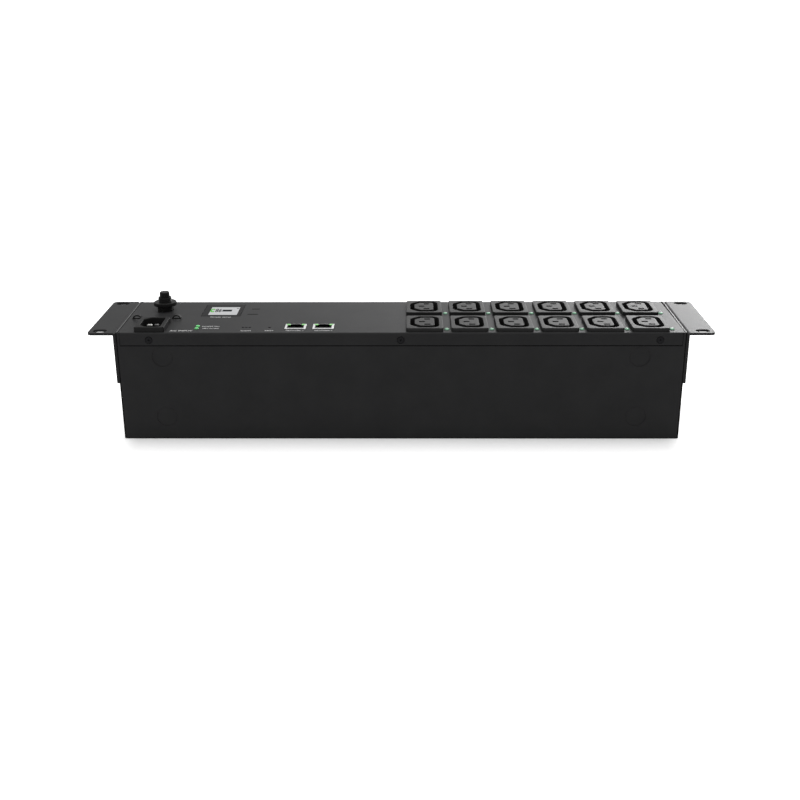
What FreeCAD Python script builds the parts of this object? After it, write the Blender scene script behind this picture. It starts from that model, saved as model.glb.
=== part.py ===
import FreeCAD, Part
import math
import os

# Rack power distribution unit, two rack units high, lying on its rear face.
# Millimetres. +Z comes out of the front panel, +X runs right along it, +Y runs to the unit's top edge.
# The origin is the centre of the rear face.

os.makedirs("parts", exist_ok=True)
Vec = FreeCAD.Vector

# Case sizes
BODY_WIDTH = 439.0
BODY_DEPTH = 88.1
SHEET = 1.2
BEND_INSIDE = 0.2
FLANGE_DEPTH = 10.0
CORNER_POST = 3.2
SHEET_GAP = 0.2
PANEL_END_GAP = 0.5
SEAM_GAP = 0.6
CORNER_GROOVE = 0.5
CORNER_LIP = 0.5
LIP_BELOW_SEAM = 6.0
LIP_BELOW_FACE = 3.5
LIP_END_INSET = 2.5
FOOT_DIAMETER = 16.0
FOOT_PRESS = 0.5
FOOT_FROM_END = 35.0
FOOT_SPAN_Z = 49.5

# Rack ears
EAR_WIDTH = 21.8
EAR_SHEET = 2.0
EAR_BEND_INSIDE = 0.3
EAR_FLANGE = 41.7
EAR_CORNER = 3.5
EAR_FLANGE_CORNER = 2.0
SLOT_FROM_EDGE = 8.75
SLOT_FROM_SIDE = 5.95
SLOT_LENGTH = 10.75
SLOT_WIDTH = 6.8
EAR_SCREW_FROM_SIDE = 17.05
EAR_SCREW_DROP = 20.5

# Countersunk screws
PANEL_SCREW_FROM_LEFT = 25.5
PANEL_SCREW_FROM_RIGHT = 20.4
PANEL_SCREW_DROP = 5.8
PANEL_SCREW_HEAD = 6.0
PANEL_SCREW_SHANK = 3.0
PANEL_SCREW_LENGTH = 2.7
EAR_SCREW_HEAD = 7.4
EAR_SCREW_SHANK = 4.0
EAR_SCREW_LENGTH = 6.8
SCREW_CLEARANCE = 0.1

# Flats that stand for a circle on small and on larger round details
SMALL_ROUND_SIDES = 8
ROUND_SIDES = 24

# Mains outlets
OUTLET_COLUMNS = 6
OUTLET_ROWS = 2
COLUMN_SPACE = 6.2
ROW_SPACE = 8.7
RIGHT_MARGIN = 12.7
NEAR_MARGIN = 2.65
FAR_MARGIN = 7.95
PLATE_X = 28.6
PLATE_Y = 34.4
PLATE_RISE = 3.0
PLATE_CORNER = 1.2
PLATE_EDGE = 0.5
CORE_X = 15.3
CORE_Y = 22.3
CORE_KEY = 4.8
CORE_DROP = 0.3
GROOVE = 3.6
GROOVE_DEPTH = 16.0
OUTLET_WALL = 1.2
OUTLET_DEPTH = 21.0
CUTOUT_GAP = 0.2
LATCH_REACH = 1.0
LATCH_HEIGHT = 4.0
LATCH_WIDTH = 8.0
LATCH_GAP = 0.1
KEY_OFFSET = 2.05
POLE_OFFSET = 7.0
BLADE_X = 4.0
BLADE_Y = 2.0
BLADE_SLOT_GAP = 0.2
CONTACT_LEAF = 0.6
CONTACT_SHEET = 0.8
CONTACT_HEIGHT = 11.0
CONTACT_GAP = 0.05
CAVITY_GAP = 0.2
CAVITY_ROOF = 5.0

# Mains inlet and tie hoops
INLET_FROM_LEFT = 25.5
INLET_FROM_NEAR = 16.35
INLET_FLANGE_X = 23.2
INLET_FLANGE_Y = 28.4
INLET_RISE = 4.0
INLET_CORNER = 1.2
INLET_CAVITY_X = 16.3
INLET_CAVITY_Y = 23.8
INLET_KEY = 5.0
INLET_CAVITY_DEPTH = 17.0
INLET_WALL = 1.2
INLET_FLOOR = 5.0
PIN_BELOW_RIM = 1.8
EARTH_PIN_AHEAD = 2.0
PIN_TIP = 0.6
PIN_TAB = 8.0
HOOPS_FROM_LEFT = 24.5
HOOP_SPREAD = 31.6
HOOP_FROM_NEAR = 39.0
HOOP_WIDTH = 7.8
HOOP_RISE = 3.3
HOOP_THICKNESS = 1.1
HOOP_STRAP = 3.0

# Circuit breaker
BREAKER_FROM_LEFT = 26.4
BREAKER_FROM_FAR = 24.55
BREAKER_X = 14.5
BREAKER_Y = 30.0
BREAKER_DEPTH = 30.0
NECK_DIAMETER = 10.2
NECK_RISE = 11.0
LOCK_NUT_FLATS = 11.6
LOCK_NUT_TURN = 30.0
LOCK_NUT_HEIGHT = 4.2
RING_NUT_DIAMETER = 18.4
RING_NUT_HEIGHT = 3.0
THREAD_GAP = 0.05
BUTTON_DIAMETER = 8.0
BUTTON_RISE = 15.5
BUTTON_EDGE = 1.0
BUTTON_LENGTH = 20.0
BUTTON_TRAVEL = 3.5
BUTTON_GAP = 0.12
BUTTON_FLOOR_GAP = 1.0
TAB_WIDTH = 6.3
TAB_THICKNESS = 0.8
TAB_LENGTH = 8.0
TAB_SPREAD = 18.0

# Display
DISPLAY_FROM_LEFT = 74.2
DISPLAY_FROM_FAR = 26.65
GLASS_X = 31.4
GLASS_Y = 31.8
GLASS_THICKNESS = 1.3
GLASS_GAP = 0.3
MODULE_BORDER = 2.4
MODULE_THICKNESS = 3.6
RIBBON_WIDTH = 12.0
RIBBON_THICKNESS = 0.4

# Control board and what stands on it
BOARD_THICKNESS = 1.6
BOARD_SIDE_GAP = 4.5
CONTROL_FROM_LEFT = 53.5
CONTROL_PAST_JACK = 12.2
JACK_FROM_LEFT = 137.4
JACK_FROM_NEAR = 16.8
JACK_PITCH = 21.7
JACK_COUNT = 2
JACK_X = 16.4
JACK_Y = 13.5
JACK_DEPTH = 16.4
JACK_PROUD = 0.4
JACK_SHEET = 0.4
JACK_GAP = 0.1
PLUG_X = 12.0
PLUG_Y = 8.0
PLUG_DEPTH = 12.5
PLUG_SHIFT_Y = 0.7
LATCH_NOTCH_X = 6.2
LATCH_NOTCH_Y = 1.9
LIGHT_X = 3.0
LIGHT_Y = 2.4
LIGHT_DEPTH = 7.0
LIGHT_INSET = 0.8
WIRE_COUNT = 8
WIRE_PITCH = 1.02
WIRE_WIDTH = 0.5
WIRE_REACH = 2.2
WIRE_DROP = 4.0
WIRE_FOOT = 10.0
STATUS_FROM_LEFT = 60.8
STATUS_FROM_NEAR = 14.5
STATUS_PITCH = 5.9
PIPE_DIAMETER = 3.0
PIPE_PROUD = 0.5
PIPE_GAP = 0.1
PIPE_RUNNER = 2.0
PIPE_RUNNER_LIFT = 3.0
OUTLET_LIGHT_X = 17.2
OUTLET_LIGHT_Y = -10.5
BUZZER_FROM_LEFT = 99.0
BUZZER_FROM_NEAR = 14.8
BUZZER_DIAMETER = 12.0
BUZZER_HEIGHT = 9.5
BUZZER_PORT = 2.4
SOUND_HOLES = 3
SOUND_HOLE_DIAMETER = 2.0
SOUND_HOLE_PITCH = 2.65
RESET_FROM_LEFT = 117.2
RESET_FROM_NEAR = 14.7
RESET_HOLE = 2.2
SWITCH_SIDE = 6.0
SWITCH_HEIGHT = 3.8
SWITCH_FLOOR = 0.6
PLUNGER_DIAMETER = 3.4
PLUNGER_BELOW_PANEL = 1.6
PLUNGER_TRAVEL = 0.3
PLUNGER_GAP = 0.1
PLUNGER_FLOOR_GAP = 0.4

# Relay board, relays and board supports
RELAY_BOARD_DROP = 29.0
BOARD_LAP = 10.0
RELAY_BOARD_FROM_RIGHT = 7.0
RELAY_X = 12.7
RELAY_Y = 28.5
RELAY_HEIGHT = 15.7
RELAY_SHIFT_X = -17.4
TERMINAL_X = 14.0
TERMINAL_Y = 10.0
TERMINAL_HEIGHT = 20.0
TERMINAL_INSET = 2.0
TERMINAL_SPACING = 12.25
TERMINAL_ENTRY = 8.0
SUPPORT_FLATS = 5.0
SUPPORT_EDGE_X = 5.0
SUPPORT_EDGE_Y = 4.0

# Power supply and leads
SUPPLY_X = 112.0
SUPPLY_Y = 48.0
SUPPLY_LIFT = 8.0
SUPPLY_UNDER_RELAY_BOARD = 20.0
TRANSFORMER_X = 30.0
TRANSFORMER_Y = 26.0
TRANSFORMER_HEIGHT = 22.0
STORAGE_DIAMETER = 16.0
STORAGE_HEIGHT = 24.0
FILTER_X = 11.0
FILTER_Y = 26.0
FILTER_HEIGHT = 18.0
PART_SPACING = 8.0
LEAD_DIAMETER = 3.2
LEAD_BEND = 6.0
LEAD_DROP = 8.0
LEAD_GAP = 0.1
LEAD_SIDES = 6
FEED_DIAMETER = 4.6
FEED_INSET = 6.5
STUD_DIAMETER = 4.0
STUD_HEIGHT = 9.0
STUD_FROM_INLET = 30.0
LUG_THICKNESS = 1.0
LUG_DIAMETER = 9.0
LUG_BARREL = 7.0
LUG_BARREL_LENGTH = 8.0
EARTH_NUT_FLATS = 7.0
EARTH_NUT_HEIGHT = 3.2
CONTROL_RIBBON_WIDTH = 26.0

# Places that follow from the sizes above
EAR_SPAN = BODY_WIDTH + 2 * EAR_WIDTH
OUTLET_PITCH_X = PLATE_X + COLUMN_SPACE
OUTLET_PITCH_Y = PLATE_Y + ROW_SPACE
PANEL_HEIGHT = NEAR_MARGIN + PLATE_Y + OUTLET_PITCH_Y * (OUTLET_ROWS - 1) + FAR_MARGIN
HALF_W = BODY_WIDTH / 2
HALF_H = PANEL_HEIGHT / 2
FACE = BODY_DEPTH
PANEL_BACK = FACE - SHEET
WALL_INSIDE_Y = HALF_H - SHEET
PANEL_HALF = HALF_W - SHEET - PANEL_END_GAP
FLANGE_HALF = HALF_W - CORNER_POST
SEAM = FACE - FLANGE_DEPTH
PLATE_TOP = FACE + PLATE_RISE
LAST_COLUMN = HALF_W - RIGHT_MARGIN - PLATE_X / 2
COLUMNS = [LAST_COLUMN - OUTLET_PITCH_X * i for i in reversed(range(OUTLET_COLUMNS))]
ROWS = [-HALF_H + NEAR_MARGIN + PLATE_Y / 2 + OUTLET_PITCH_Y * i for i in range(OUTLET_ROWS)]
ROW_GAP_Y = sum(ROWS) / OUTLET_ROWS
NECK_X = CORE_X + 2 * GROOVE + 2 * OUTLET_WALL
NECK_Y = CORE_Y + 2 * GROOVE + 2 * OUTLET_WALL
POLES = {
    "line": (KEY_OFFSET, POLE_OFFSET),
    "neutral": (KEY_OFFSET, -POLE_OFFSET),
    "earth": (-KEY_OFFSET, 0.0),
}
CONTACT_SLOT = BLADE_Y + 2 * CONTACT_GAP
CONTACT_Y = CONTACT_SLOT + 2 * CONTACT_LEAF
CONTACT_TOP = PLATE_TOP - CAVITY_ROOF
INLET = Vec(-HALF_W + INLET_FROM_LEFT, -HALF_H + INLET_FROM_NEAR, FACE)
INLET_TOP = FACE + INLET_RISE
INLET_CAVITY_FLOOR = INLET_TOP - INLET_CAVITY_DEPTH
INLET_BOTTOM = INLET_CAVITY_FLOOR - INLET_FLOOR
PIN_END = INLET_BOTTOM - PIN_TAB
INLET_NECK_X = INLET_CAVITY_X + 2 * INLET_WALL
INLET_NECK_Y = INLET_CAVITY_Y + 2 * INLET_WALL
HOOP_XS = [-HALF_W + HOOPS_FROM_LEFT + HOOP_SPREAD * s for s in (-0.5, 0.5)]
HOOP_Y = -HALF_H + HOOP_FROM_NEAR
BREAKER = Vec(-HALF_W + BREAKER_FROM_LEFT, HALF_H - BREAKER_FROM_FAR, FACE)
BREAKER_BOTTOM = PANEL_BACK - BREAKER_DEPTH
BUTTON_BOTTOM = FACE + BUTTON_RISE - BUTTON_LENGTH
TAB_END = BREAKER_BOTTOM - TAB_LENGTH
DISPLAY = Vec(-HALF_W + DISPLAY_FROM_LEFT, HALF_H - DISPLAY_FROM_FAR, PANEL_BACK)
CONTROL_TOP = FACE + JACK_PROUD - JACK_DEPTH
CONTROL_BOTTOM = CONTROL_TOP - BOARD_THICKNESS
BOARD_HALF_Y = HALF_H - BOARD_SIDE_GAP
JACK_XS = [-HALF_W + JACK_FROM_LEFT + JACK_PITCH * i for i in range(JACK_COUNT)]
JACKS = [Vec(x, -HALF_H + JACK_FROM_NEAR, 0) for x in JACK_XS]
CONTROL_X = (-HALF_W + CONTROL_FROM_LEFT, JACK_XS[-1] + JACK_X / 2 + CONTROL_PAST_JACK)
STATUS_X = -HALF_W + STATUS_FROM_LEFT
STATUS_YS = [-HALF_H + STATUS_FROM_NEAR + STATUS_PITCH * s for s in (-0.5, 0.5)]
BUZZER = Vec(-HALF_W + BUZZER_FROM_LEFT, -HALF_H + BUZZER_FROM_NEAR, CONTROL_TOP)
RESET = Vec(-HALF_W + RESET_FROM_LEFT, -HALF_H + RESET_FROM_NEAR, CONTROL_TOP)
PLUNGER_TOP = PANEL_BACK - PLUNGER_BELOW_PANEL
PLUNGER_BOTTOM = CONTROL_TOP + SWITCH_FLOOR + PLUNGER_FLOOR_GAP + PLUNGER_TRAVEL
RELAY_BOARD_TOP = FACE - RELAY_BOARD_DROP
RELAY_BOARD_BOTTOM = RELAY_BOARD_TOP - BOARD_THICKNESS
TERMINAL_LEFT = COLUMNS[0] + RELAY_SHIFT_X - RELAY_X / 2 - TERMINAL_SPACING - TERMINAL_X
RELAY_BOARD_LEFT = min(TERMINAL_LEFT - TERMINAL_INSET, CONTROL_X[1] - BOARD_LAP)
RELAY_BOARD_X = (RELAY_BOARD_LEFT, HALF_W - RELAY_BOARD_FROM_RIGHT)
LEAD_LEVEL = TAB_END - LEAD_DROP
LEAD_HOLE = LEAD_DIAMETER / math.cos(math.pi / LEAD_SIDES) + 2 * LEAD_GAP
BREAKER_TABS_Y = [BREAKER.y + TAB_SPREAD * s for s in (-0.5, 0.5)]
SUPPLY_BOTTOM = SHEET + SUPPLY_LIFT
SUPPLY_TOP = SUPPLY_BOTTOM + BOARD_THICKNESS
SUPPLY_RIGHT = RELAY_BOARD_X[0] + SUPPLY_UNDER_RELAY_BOARD
SUPPLY_LEFT = SUPPLY_RIGHT - SUPPLY_X
EARTH_STUD = Vec(INLET.x - KEY_OFFSET, INLET.y + STUD_FROM_INLET, SHEET)
LIP_TOP = FACE - LIP_BELOW_FACE
CONTROL_SUPPORTS = [
    Vec(CONTROL_X[1] - SUPPORT_EDGE_X, -BOARD_HALF_Y + SUPPORT_EDGE_Y, 0),
    Vec(CONTROL_X[1] - SUPPORT_EDGE_X, BOARD_HALF_Y - SUPPORT_EDGE_Y, 0),
    Vec((DISPLAY.x + BUZZER.x) / 2, -BOARD_HALF_Y + SUPPORT_EDGE_Y, 0),
    Vec(RESET.x, BOARD_HALF_Y - SUPPORT_EDGE_Y, 0),
]
RELAY_SUPPORTS = [
    Vec(CONTROL_X[1] + SUPPORT_EDGE_X, ROW_GAP_Y, 0),
    Vec((COLUMNS[0] + COLUMNS[-1]) / 2, ROW_GAP_Y, 0),
    Vec(RELAY_BOARD_X[1] - SUPPORT_EDGE_X, ROW_GAP_Y, 0),
]
SUPPLY_SUPPORTS = [
    Vec(x, y, 0)
    for x in (SUPPLY_LEFT + SUPPORT_EDGE_X, SUPPLY_RIGHT - SUPPORT_EDGE_X)
    for y in (-SUPPLY_Y / 2 + SUPPORT_EDGE_Y, SUPPLY_Y / 2 - SUPPORT_EDGE_Y)
]


# Shape helpers

def box(x0, x1, y0, y1, z0, z1):
    return Part.makeBox(x1 - x0, y1 - y0, z1 - z0, Vec(x0, y0, z0))


def block(x, y, size_x, size_y, z0, z1):
    return box(x - size_x / 2, x + size_x / 2, y - size_y / 2, y + size_y / 2, z0, z1)


def rod(x, y, diameter, z0, z1):
    return Part.makeCylinder(diameter / 2, z1 - z0, Vec(x, y, z0))


def outline(corners, radius):
    """A closed flat wire through the corners, each rounded to the radius."""
    starts = []
    arcs = []
    count = len(corners)
    for i, corner in enumerate(corners):
        back = (corners[i - 1] - corner).normalize()
        ahead = (corners[(i + 1) % count] - corner).normalize()
        half = back.getAngle(ahead) / 2
        inward = (back + ahead).normalize()
        entry = corner + back * (radius / math.tan(half))
        leave = corner + ahead * (radius / math.tan(half))
        middle = corner + inward * (radius / math.sin(half) - radius)
        starts.append((entry, leave))
        arcs.append(Part.Arc(entry, middle, leave).toShape() if radius > 0 else None)
    edges = []
    for i in range(count):
        if arcs[i]:
            edges.append(arcs[i])
        edges.append(Part.makeLine(starts[i][1], starts[(i + 1) % count][0]))
    return Part.Wire(edges)


def prism(corners, sweep, radius=0.0):
    return Part.Face(outline(corners, radius)).extrude(sweep)


def rectangle(x, y, size_x, size_y, z):
    hx = size_x / 2
    hy = size_y / 2
    return [Vec(x - hx, y - hy, z), Vec(x + hx, y - hy, z), Vec(x + hx, y + hy, z), Vec(x - hx, y + hy, z)]


def clipped_block(x, y, size_x, size_y, z0, z1, clip, rim):
    """A block with its upright edges cut off, and then the edges around its top."""
    shape = block(x, y, size_x, size_y, z0, z1)
    middle = (z0 + z1) / 2
    upright = [edge for edge in shape.Edges if edge.BoundBox.ZMin < middle < edge.BoundBox.ZMax]
    shape = shape.makeChamfer(clip, upright)
    return shape.makeChamfer(rim, [edge for edge in shape.Edges if edge.BoundBox.ZMin > middle])


def keyed_block(x, y, size_x, size_y, key, z0, z1):
    """A block with its two corners on the left cut off, the shape of a mains connector."""
    hx = size_x / 2
    hy = size_y / 2
    corners = [
        Vec(x - hx + key, y - hy, z0),
        Vec(x + hx, y - hy, z0),
        Vec(x + hx, y + hy, z0),
        Vec(x - hx + key, y + hy, z0),
        Vec(x - hx, y + hy - key, z0),
        Vec(x - hx, y - hy + key, z0),
    ]
    return prism(corners, Vec(0, 0, z1 - z0))


def flats_corners(point, direction, diameter, sides):
    """Corners of flats that touch a circle from outside, square to a direction along an axis."""
    across = Vec(direction.y, direction.z, direction.x).normalize()
    third = across.cross(direction).normalize()
    reach = diameter / 2 / math.cos(math.pi / sides)
    turns = [2 * math.pi * (i + 0.5) / sides for i in range(sides)]
    return [point + across * (reach * math.cos(turn)) + third * (reach * math.sin(turn)) for turn in turns]


def flats_rod(point, sweep, diameter, sides=SMALL_ROUND_SIDES):
    return prism(flats_corners(point, sweep, diameter, sides), sweep)


def flats_cone(point, sweep, start_diameter, end_diameter):
    """A tapered rod of flats from one diameter to another."""
    low = flats_corners(point, sweep, start_diameter, SMALL_ROUND_SIDES)
    high = flats_corners(point + sweep, sweep, end_diameter, SMALL_ROUND_SIDES)
    faces = [Part.Face(outline(low, 0)), Part.Face(outline(high, 0))]
    for i in range(SMALL_ROUND_SIDES):
        faces.append(Part.Face(outline([low[i - 1], low[i], high[i], high[i - 1]], 0)))
    return Part.makeSolid(Part.makeShell(faces))


def post(x, y, diameter, z0, z1):
    return flats_rod(Vec(x, y, z0), Vec(0, 0, z1 - z0), diameter)


def round_post(x, y, diameter, z0, z1):
    return flats_rod(Vec(x, y, z0), Vec(0, 0, z1 - z0), diameter, ROUND_SIDES)


def hexagon(x, y, flats, z0, z1):
    return flats_rod(Vec(x, y, z0), Vec(0, 0, z1 - z0), flats, 6)


def lead(points):
    """A six-sided lead along straight runs, with each corner cut across."""
    route = [points[0]]
    for i in range(1, len(points) - 1):
        corner = points[i]
        route.append(corner + (points[i - 1] - corner).normalize() * LEAD_BEND)
        route.append(corner + (points[i + 1] - corner).normalize() * LEAD_BEND)
    route.append(points[-1])
    section = outline(flats_corners(route[0], route[1] - route[0], LEAD_DIAMETER, LEAD_SIDES), 0)
    return Part.makePolygon(route).makePipeShell([section], True, False, 1)


def sunk_screw(head, shank, length, point, direction, spread=0.0):
    """A countersunk screw, or with some spread the hole that takes it."""
    drop = (head - shank) / 2
    cone = flats_cone(point, direction * drop, head + 2 * spread, shank + 2 * spread)
    stem = flats_rod(point + direction * drop, direction * (length - drop), shank + 2 * spread)
    return cone.fuse(stem)


def one_solid(shape):
    shape = shape.removeSplitter()
    if len(shape.Solids) != 1:
        raise ValueError("expected one solid, found %d" % len(shape.Solids))
    return shape.Solids[0]


def group(shapes):
    return Part.makeCompound([one_solid(shape) for shape in shapes])


# Case

def panel_screw_places():
    for side in (-1, 1):
        for x in (-HALF_W + PANEL_SCREW_FROM_LEFT, 0.0, HALF_W - PANEL_SCREW_FROM_RIGHT):
            yield Vec(x, side * HALF_H, FACE - PANEL_SCREW_DROP), Vec(0, -side, 0)


def ear_screw_places():
    for side in (-1, 1):
        for y in (-HALF_H + EAR_SCREW_FROM_SIDE, HALF_H - EAR_SCREW_FROM_SIDE):
            yield Vec(side * (HALF_W + EAR_SHEET), y, FACE - EAR_SCREW_DROP), Vec(-side, 0, 0)


def panel_screw_holes():
    sizes = (PANEL_SCREW_HEAD, PANEL_SCREW_SHANK, PANEL_SCREW_LENGTH)
    return [sunk_screw(*sizes, point, way, SCREW_CLEARANCE) for point, way in panel_screw_places()]


def ear_screw_holes():
    sizes = (EAR_SCREW_HEAD, EAR_SCREW_SHANK, EAR_SCREW_LENGTH)
    return [sunk_screw(*sizes, point, way, SCREW_CLEARANCE) for point, way in ear_screw_places()]


def panel_screws():
    sizes = (PANEL_SCREW_HEAD, PANEL_SCREW_SHANK, PANEL_SCREW_LENGTH)
    return group([sunk_screw(*sizes, point, way) for point, way in panel_screw_places()])


def ear_screws():
    sizes = (EAR_SCREW_HEAD, EAR_SCREW_SHANK, EAR_SCREW_LENGTH)
    return group([sunk_screw(*sizes, point, way) for point, way in ear_screw_places()])


def folded_channel():
    """The panel's face and its two long flanges, bent from one sheet."""
    outer = [
        Vec(-FLANGE_HALF, -HALF_H, SEAM - FLANGE_DEPTH),
        Vec(-FLANGE_HALF, HALF_H, SEAM - FLANGE_DEPTH),
        Vec(-FLANGE_HALF, HALF_H, FACE),
        Vec(-FLANGE_HALF, -HALF_H, FACE),
    ]
    inner = [
        Vec(-FLANGE_HALF, -WALL_INSIDE_Y, SEAM - 2 * FLANGE_DEPTH),
        Vec(-FLANGE_HALF, WALL_INSIDE_Y, SEAM - 2 * FLANGE_DEPTH),
        Vec(-FLANGE_HALF, WALL_INSIDE_Y, PANEL_BACK),
        Vec(-FLANGE_HALF, -WALL_INSIDE_Y, PANEL_BACK),
    ]
    along = Vec(2 * FLANGE_HALF, 0, 0)
    channel = prism(outer, along, BEND_INSIDE + SHEET).cut(prism(inner, along, BEND_INSIDE))
    below = box(-HALF_W, HALF_W, -PANEL_HEIGHT, PANEL_HEIGHT, 0, SEAM)
    return channel.cut(below)


def tie_hoop(x):
    """A half-round strap lanced up from the panel sheet."""
    radius = HOOP_WIDTH / 2
    base = FACE + HOOP_RISE - radius
    y0 = HOOP_Y - HOOP_STRAP / 2
    y1 = HOOP_Y + HOOP_STRAP / 2
    start = Vec(x, y0, base)
    across = Vec(0, HOOP_STRAP, 0)
    ring = flats_rod(start, across, HOOP_WIDTH, ROUND_SIDES)
    strap = ring.cut(flats_rod(start, across, HOOP_WIDTH - 2 * HOOP_THICKNESS, ROUND_SIDES))
    legs = strap.fuse(box(x - radius, x - radius + HOOP_THICKNESS, y0, y1, PANEL_BACK, base))
    legs = legs.fuse(box(x + radius - HOOP_THICKNESS, x + radius, y0, y1, PANEL_BACK, base))
    return legs.cut(box(x - radius, x + radius, y0, y1, base - 2 * radius, PANEL_BACK))


def hoop_slot(x):
    width = HOOP_WIDTH - 2 * HOOP_THICKNESS
    return block(x, HOOP_Y, width, HOOP_STRAP, PANEL_BACK, FACE)


def panel_openings():
    z0 = PANEL_BACK
    z1 = FACE
    cuts = []
    for y in ROWS:
        for x in COLUMNS:
            cuts.append(block(x, y, NECK_X + 2 * CUTOUT_GAP, NECK_Y + 2 * CUTOUT_GAP, z0, z1))
            cuts.append(post(x + OUTLET_LIGHT_X, y + OUTLET_LIGHT_Y, PIPE_DIAMETER + 2 * PIPE_GAP, z0, z1))
    inlet_size = (INLET_NECK_X + 2 * CUTOUT_GAP, INLET_NECK_Y + 2 * CUTOUT_GAP)
    cuts.append(block(INLET.x, INLET.y, *inlet_size, z0, z1))
    cuts.append(round_post(BREAKER.x, BREAKER.y, NECK_DIAMETER + 2 * CUTOUT_GAP, z0, z1))
    cuts.append(block(DISPLAY.x, DISPLAY.y, GLASS_X + 2 * GLASS_GAP, GLASS_Y + 2 * GLASS_GAP, z0, z1))
    for jack in JACKS:
        cuts.append(block(jack.x, jack.y, JACK_X + 2 * CUTOUT_GAP, JACK_Y + 2 * CUTOUT_GAP, z0, z1))
    for y in STATUS_YS:
        cuts.append(post(STATUS_X, y, PIPE_DIAMETER + 2 * PIPE_GAP, z0, z1))
    for i in range(SOUND_HOLES):
        offset = (i - (SOUND_HOLES - 1) / 2) * SOUND_HOLE_PITCH
        cuts.append(post(BUZZER.x + offset, BUZZER.y, SOUND_HOLE_DIAMETER, z0, z1))
    cuts.append(post(RESET.x, RESET.y, RESET_HOLE, z0, z1))
    for x in HOOP_XS:
        cuts.append(hoop_slot(x))
    return cuts


def front_panel():
    reach = WALL_INSIDE_Y - SHEET_GAP
    face = box(-PANEL_HALF, PANEL_HALF, -reach, reach, PANEL_BACK, FACE)
    panel = folded_channel().fuse(face).removeSplitter()
    panel = panel.cut(panel_openings() + panel_screw_holes())
    hoops = [tie_hoop(x) for x in HOOP_XS]
    return one_solid(panel.fuse(hoops))


def tray(half_x, half_y, floor, top, bend):
    """A box whose walls are bent up from its floor."""
    shape = box(-half_x, half_x, -half_y, half_y, floor, top)
    return shape.makeFillet(bend, [edge for edge in shape.Edges if edge.BoundBox.ZMax < (floor + top) / 2])


def foot_places():
    middle = FACE / 2
    for x in (-HALF_W + FOOT_FROM_END, HALF_W - FOOT_FROM_END):
        for z in (middle - FOOT_SPAN_Z / 2, middle + FOOT_SPAN_Z / 2):
            yield x, z


def corner_grooves():
    """Open corners of the folded tray, where the long walls stop short of the end walls."""
    outer = HALF_W - CORNER_LIP
    inner = outer - CORNER_GROOVE
    low = BEND_INSIDE + SHEET
    grooves = []
    for y in (-HALF_H, WALL_INSIDE_Y):
        for x in (-outer, inner):
            grooves.append(box(x, x + CORNER_GROOVE, y, y + SHEET, low, FACE))
    return grooves


def rear_housing():
    outer = tray(HALF_W, HALF_H, 0, FACE, BEND_INSIDE + SHEET)
    housing = outer.cut(tray(HALF_W - SHEET, WALL_INSIDE_Y, SHEET, FACE + SHEET, BEND_INSIDE))
    half = FLANGE_HALF + SHEET_GAP
    bottom = SEAM - SEAM_GAP
    cuts = [box(-half, half, y - SHEET, y, bottom, FACE) for y in (-WALL_INSIDE_Y, HALF_H)]
    housing = housing.cut(cuts)
    lip_half = FLANGE_HALF - LIP_END_INSET
    lip_low = SEAM - LIP_BELOW_SEAM
    lip_starts = (-WALL_INSIDE_Y, WALL_INSIDE_Y - SHEET)
    adds = [box(-lip_half, lip_half, y, y + SHEET, lip_low, LIP_TOP) for y in lip_starts]
    adds.append(post(EARTH_STUD.x, EARTH_STUD.y, STUD_DIAMETER, SHEET, SHEET + STUD_HEIGHT))
    inward = Vec(0, 1, 0)
    feet = [Vec(x, -HALF_H, z) for x, z in foot_places()]
    presses = [flats_rod(foot, inward * FOOT_PRESS, FOOT_DIAMETER, ROUND_SIDES) for foot in feet]
    housing = housing.fuse(adds)
    return one_solid(housing.cut(presses + corner_grooves() + panel_screw_holes() + ear_screw_holes()))


def rack_ear(side):
    inner_x = HALF_W
    outer_x = EAR_SPAN / 2
    low = FACE - EAR_FLANGE
    outside = EAR_BEND_INSIDE + EAR_SHEET

    def at(x, z):
        return Vec(side * x, -HALF_H, z)

    along = Vec(0, PANEL_HEIGHT, 0)
    solid_corners = [
        at(inner_x, low - outside),
        at(outer_x + outside, low - outside),
        at(outer_x + outside, FACE),
        at(inner_x, FACE),
    ]
    notch_corners = [
        at(inner_x + EAR_SHEET, low - 2 * outside),
        at(outer_x + 2 * outside, low - 2 * outside),
        at(outer_x + 2 * outside, FACE - EAR_SHEET),
        at(inner_x + EAR_SHEET, FACE - EAR_SHEET),
    ]
    angle = prism(solid_corners, along, outside).cut(prism(notch_corners, along, EAR_BEND_INSIDE))
    width = outer_x - inner_x
    plan_corners = rectangle(side * inner_x, 0, 2 * width, PANEL_HEIGHT, low)
    plan = prism(plan_corners, Vec(0, 0, FACE - low), EAR_CORNER)
    side_corners = [
        Vec(0, -HALF_H, low),
        Vec(0, HALF_H, low),
        Vec(0, HALF_H, FACE + low),
        Vec(0, -HALF_H, FACE + low),
    ]
    profile = prism(side_corners, Vec(side * EAR_SPAN, 0, 0), EAR_FLANGE_CORNER)
    ear = angle.common(plan).common(profile)
    slots = []
    for y in (-HALF_H + SLOT_FROM_SIDE, HALF_H - SLOT_FROM_SIDE):
        x = side * (EAR_SPAN / 2 - SLOT_FROM_EDGE)
        straight = SLOT_LENGTH - SLOT_WIDTH
        slot = block(x, y, straight, SLOT_WIDTH, FACE - EAR_SHEET, FACE)
        ends = [rod(x + s * straight / 2, y, SLOT_WIDTH, FACE - EAR_SHEET, FACE) for s in (-1, 1)]
        slots.append(slot.fuse(ends))
    return one_solid(ear.cut(slots + ear_screw_holes()))


# Mains outlets

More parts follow.
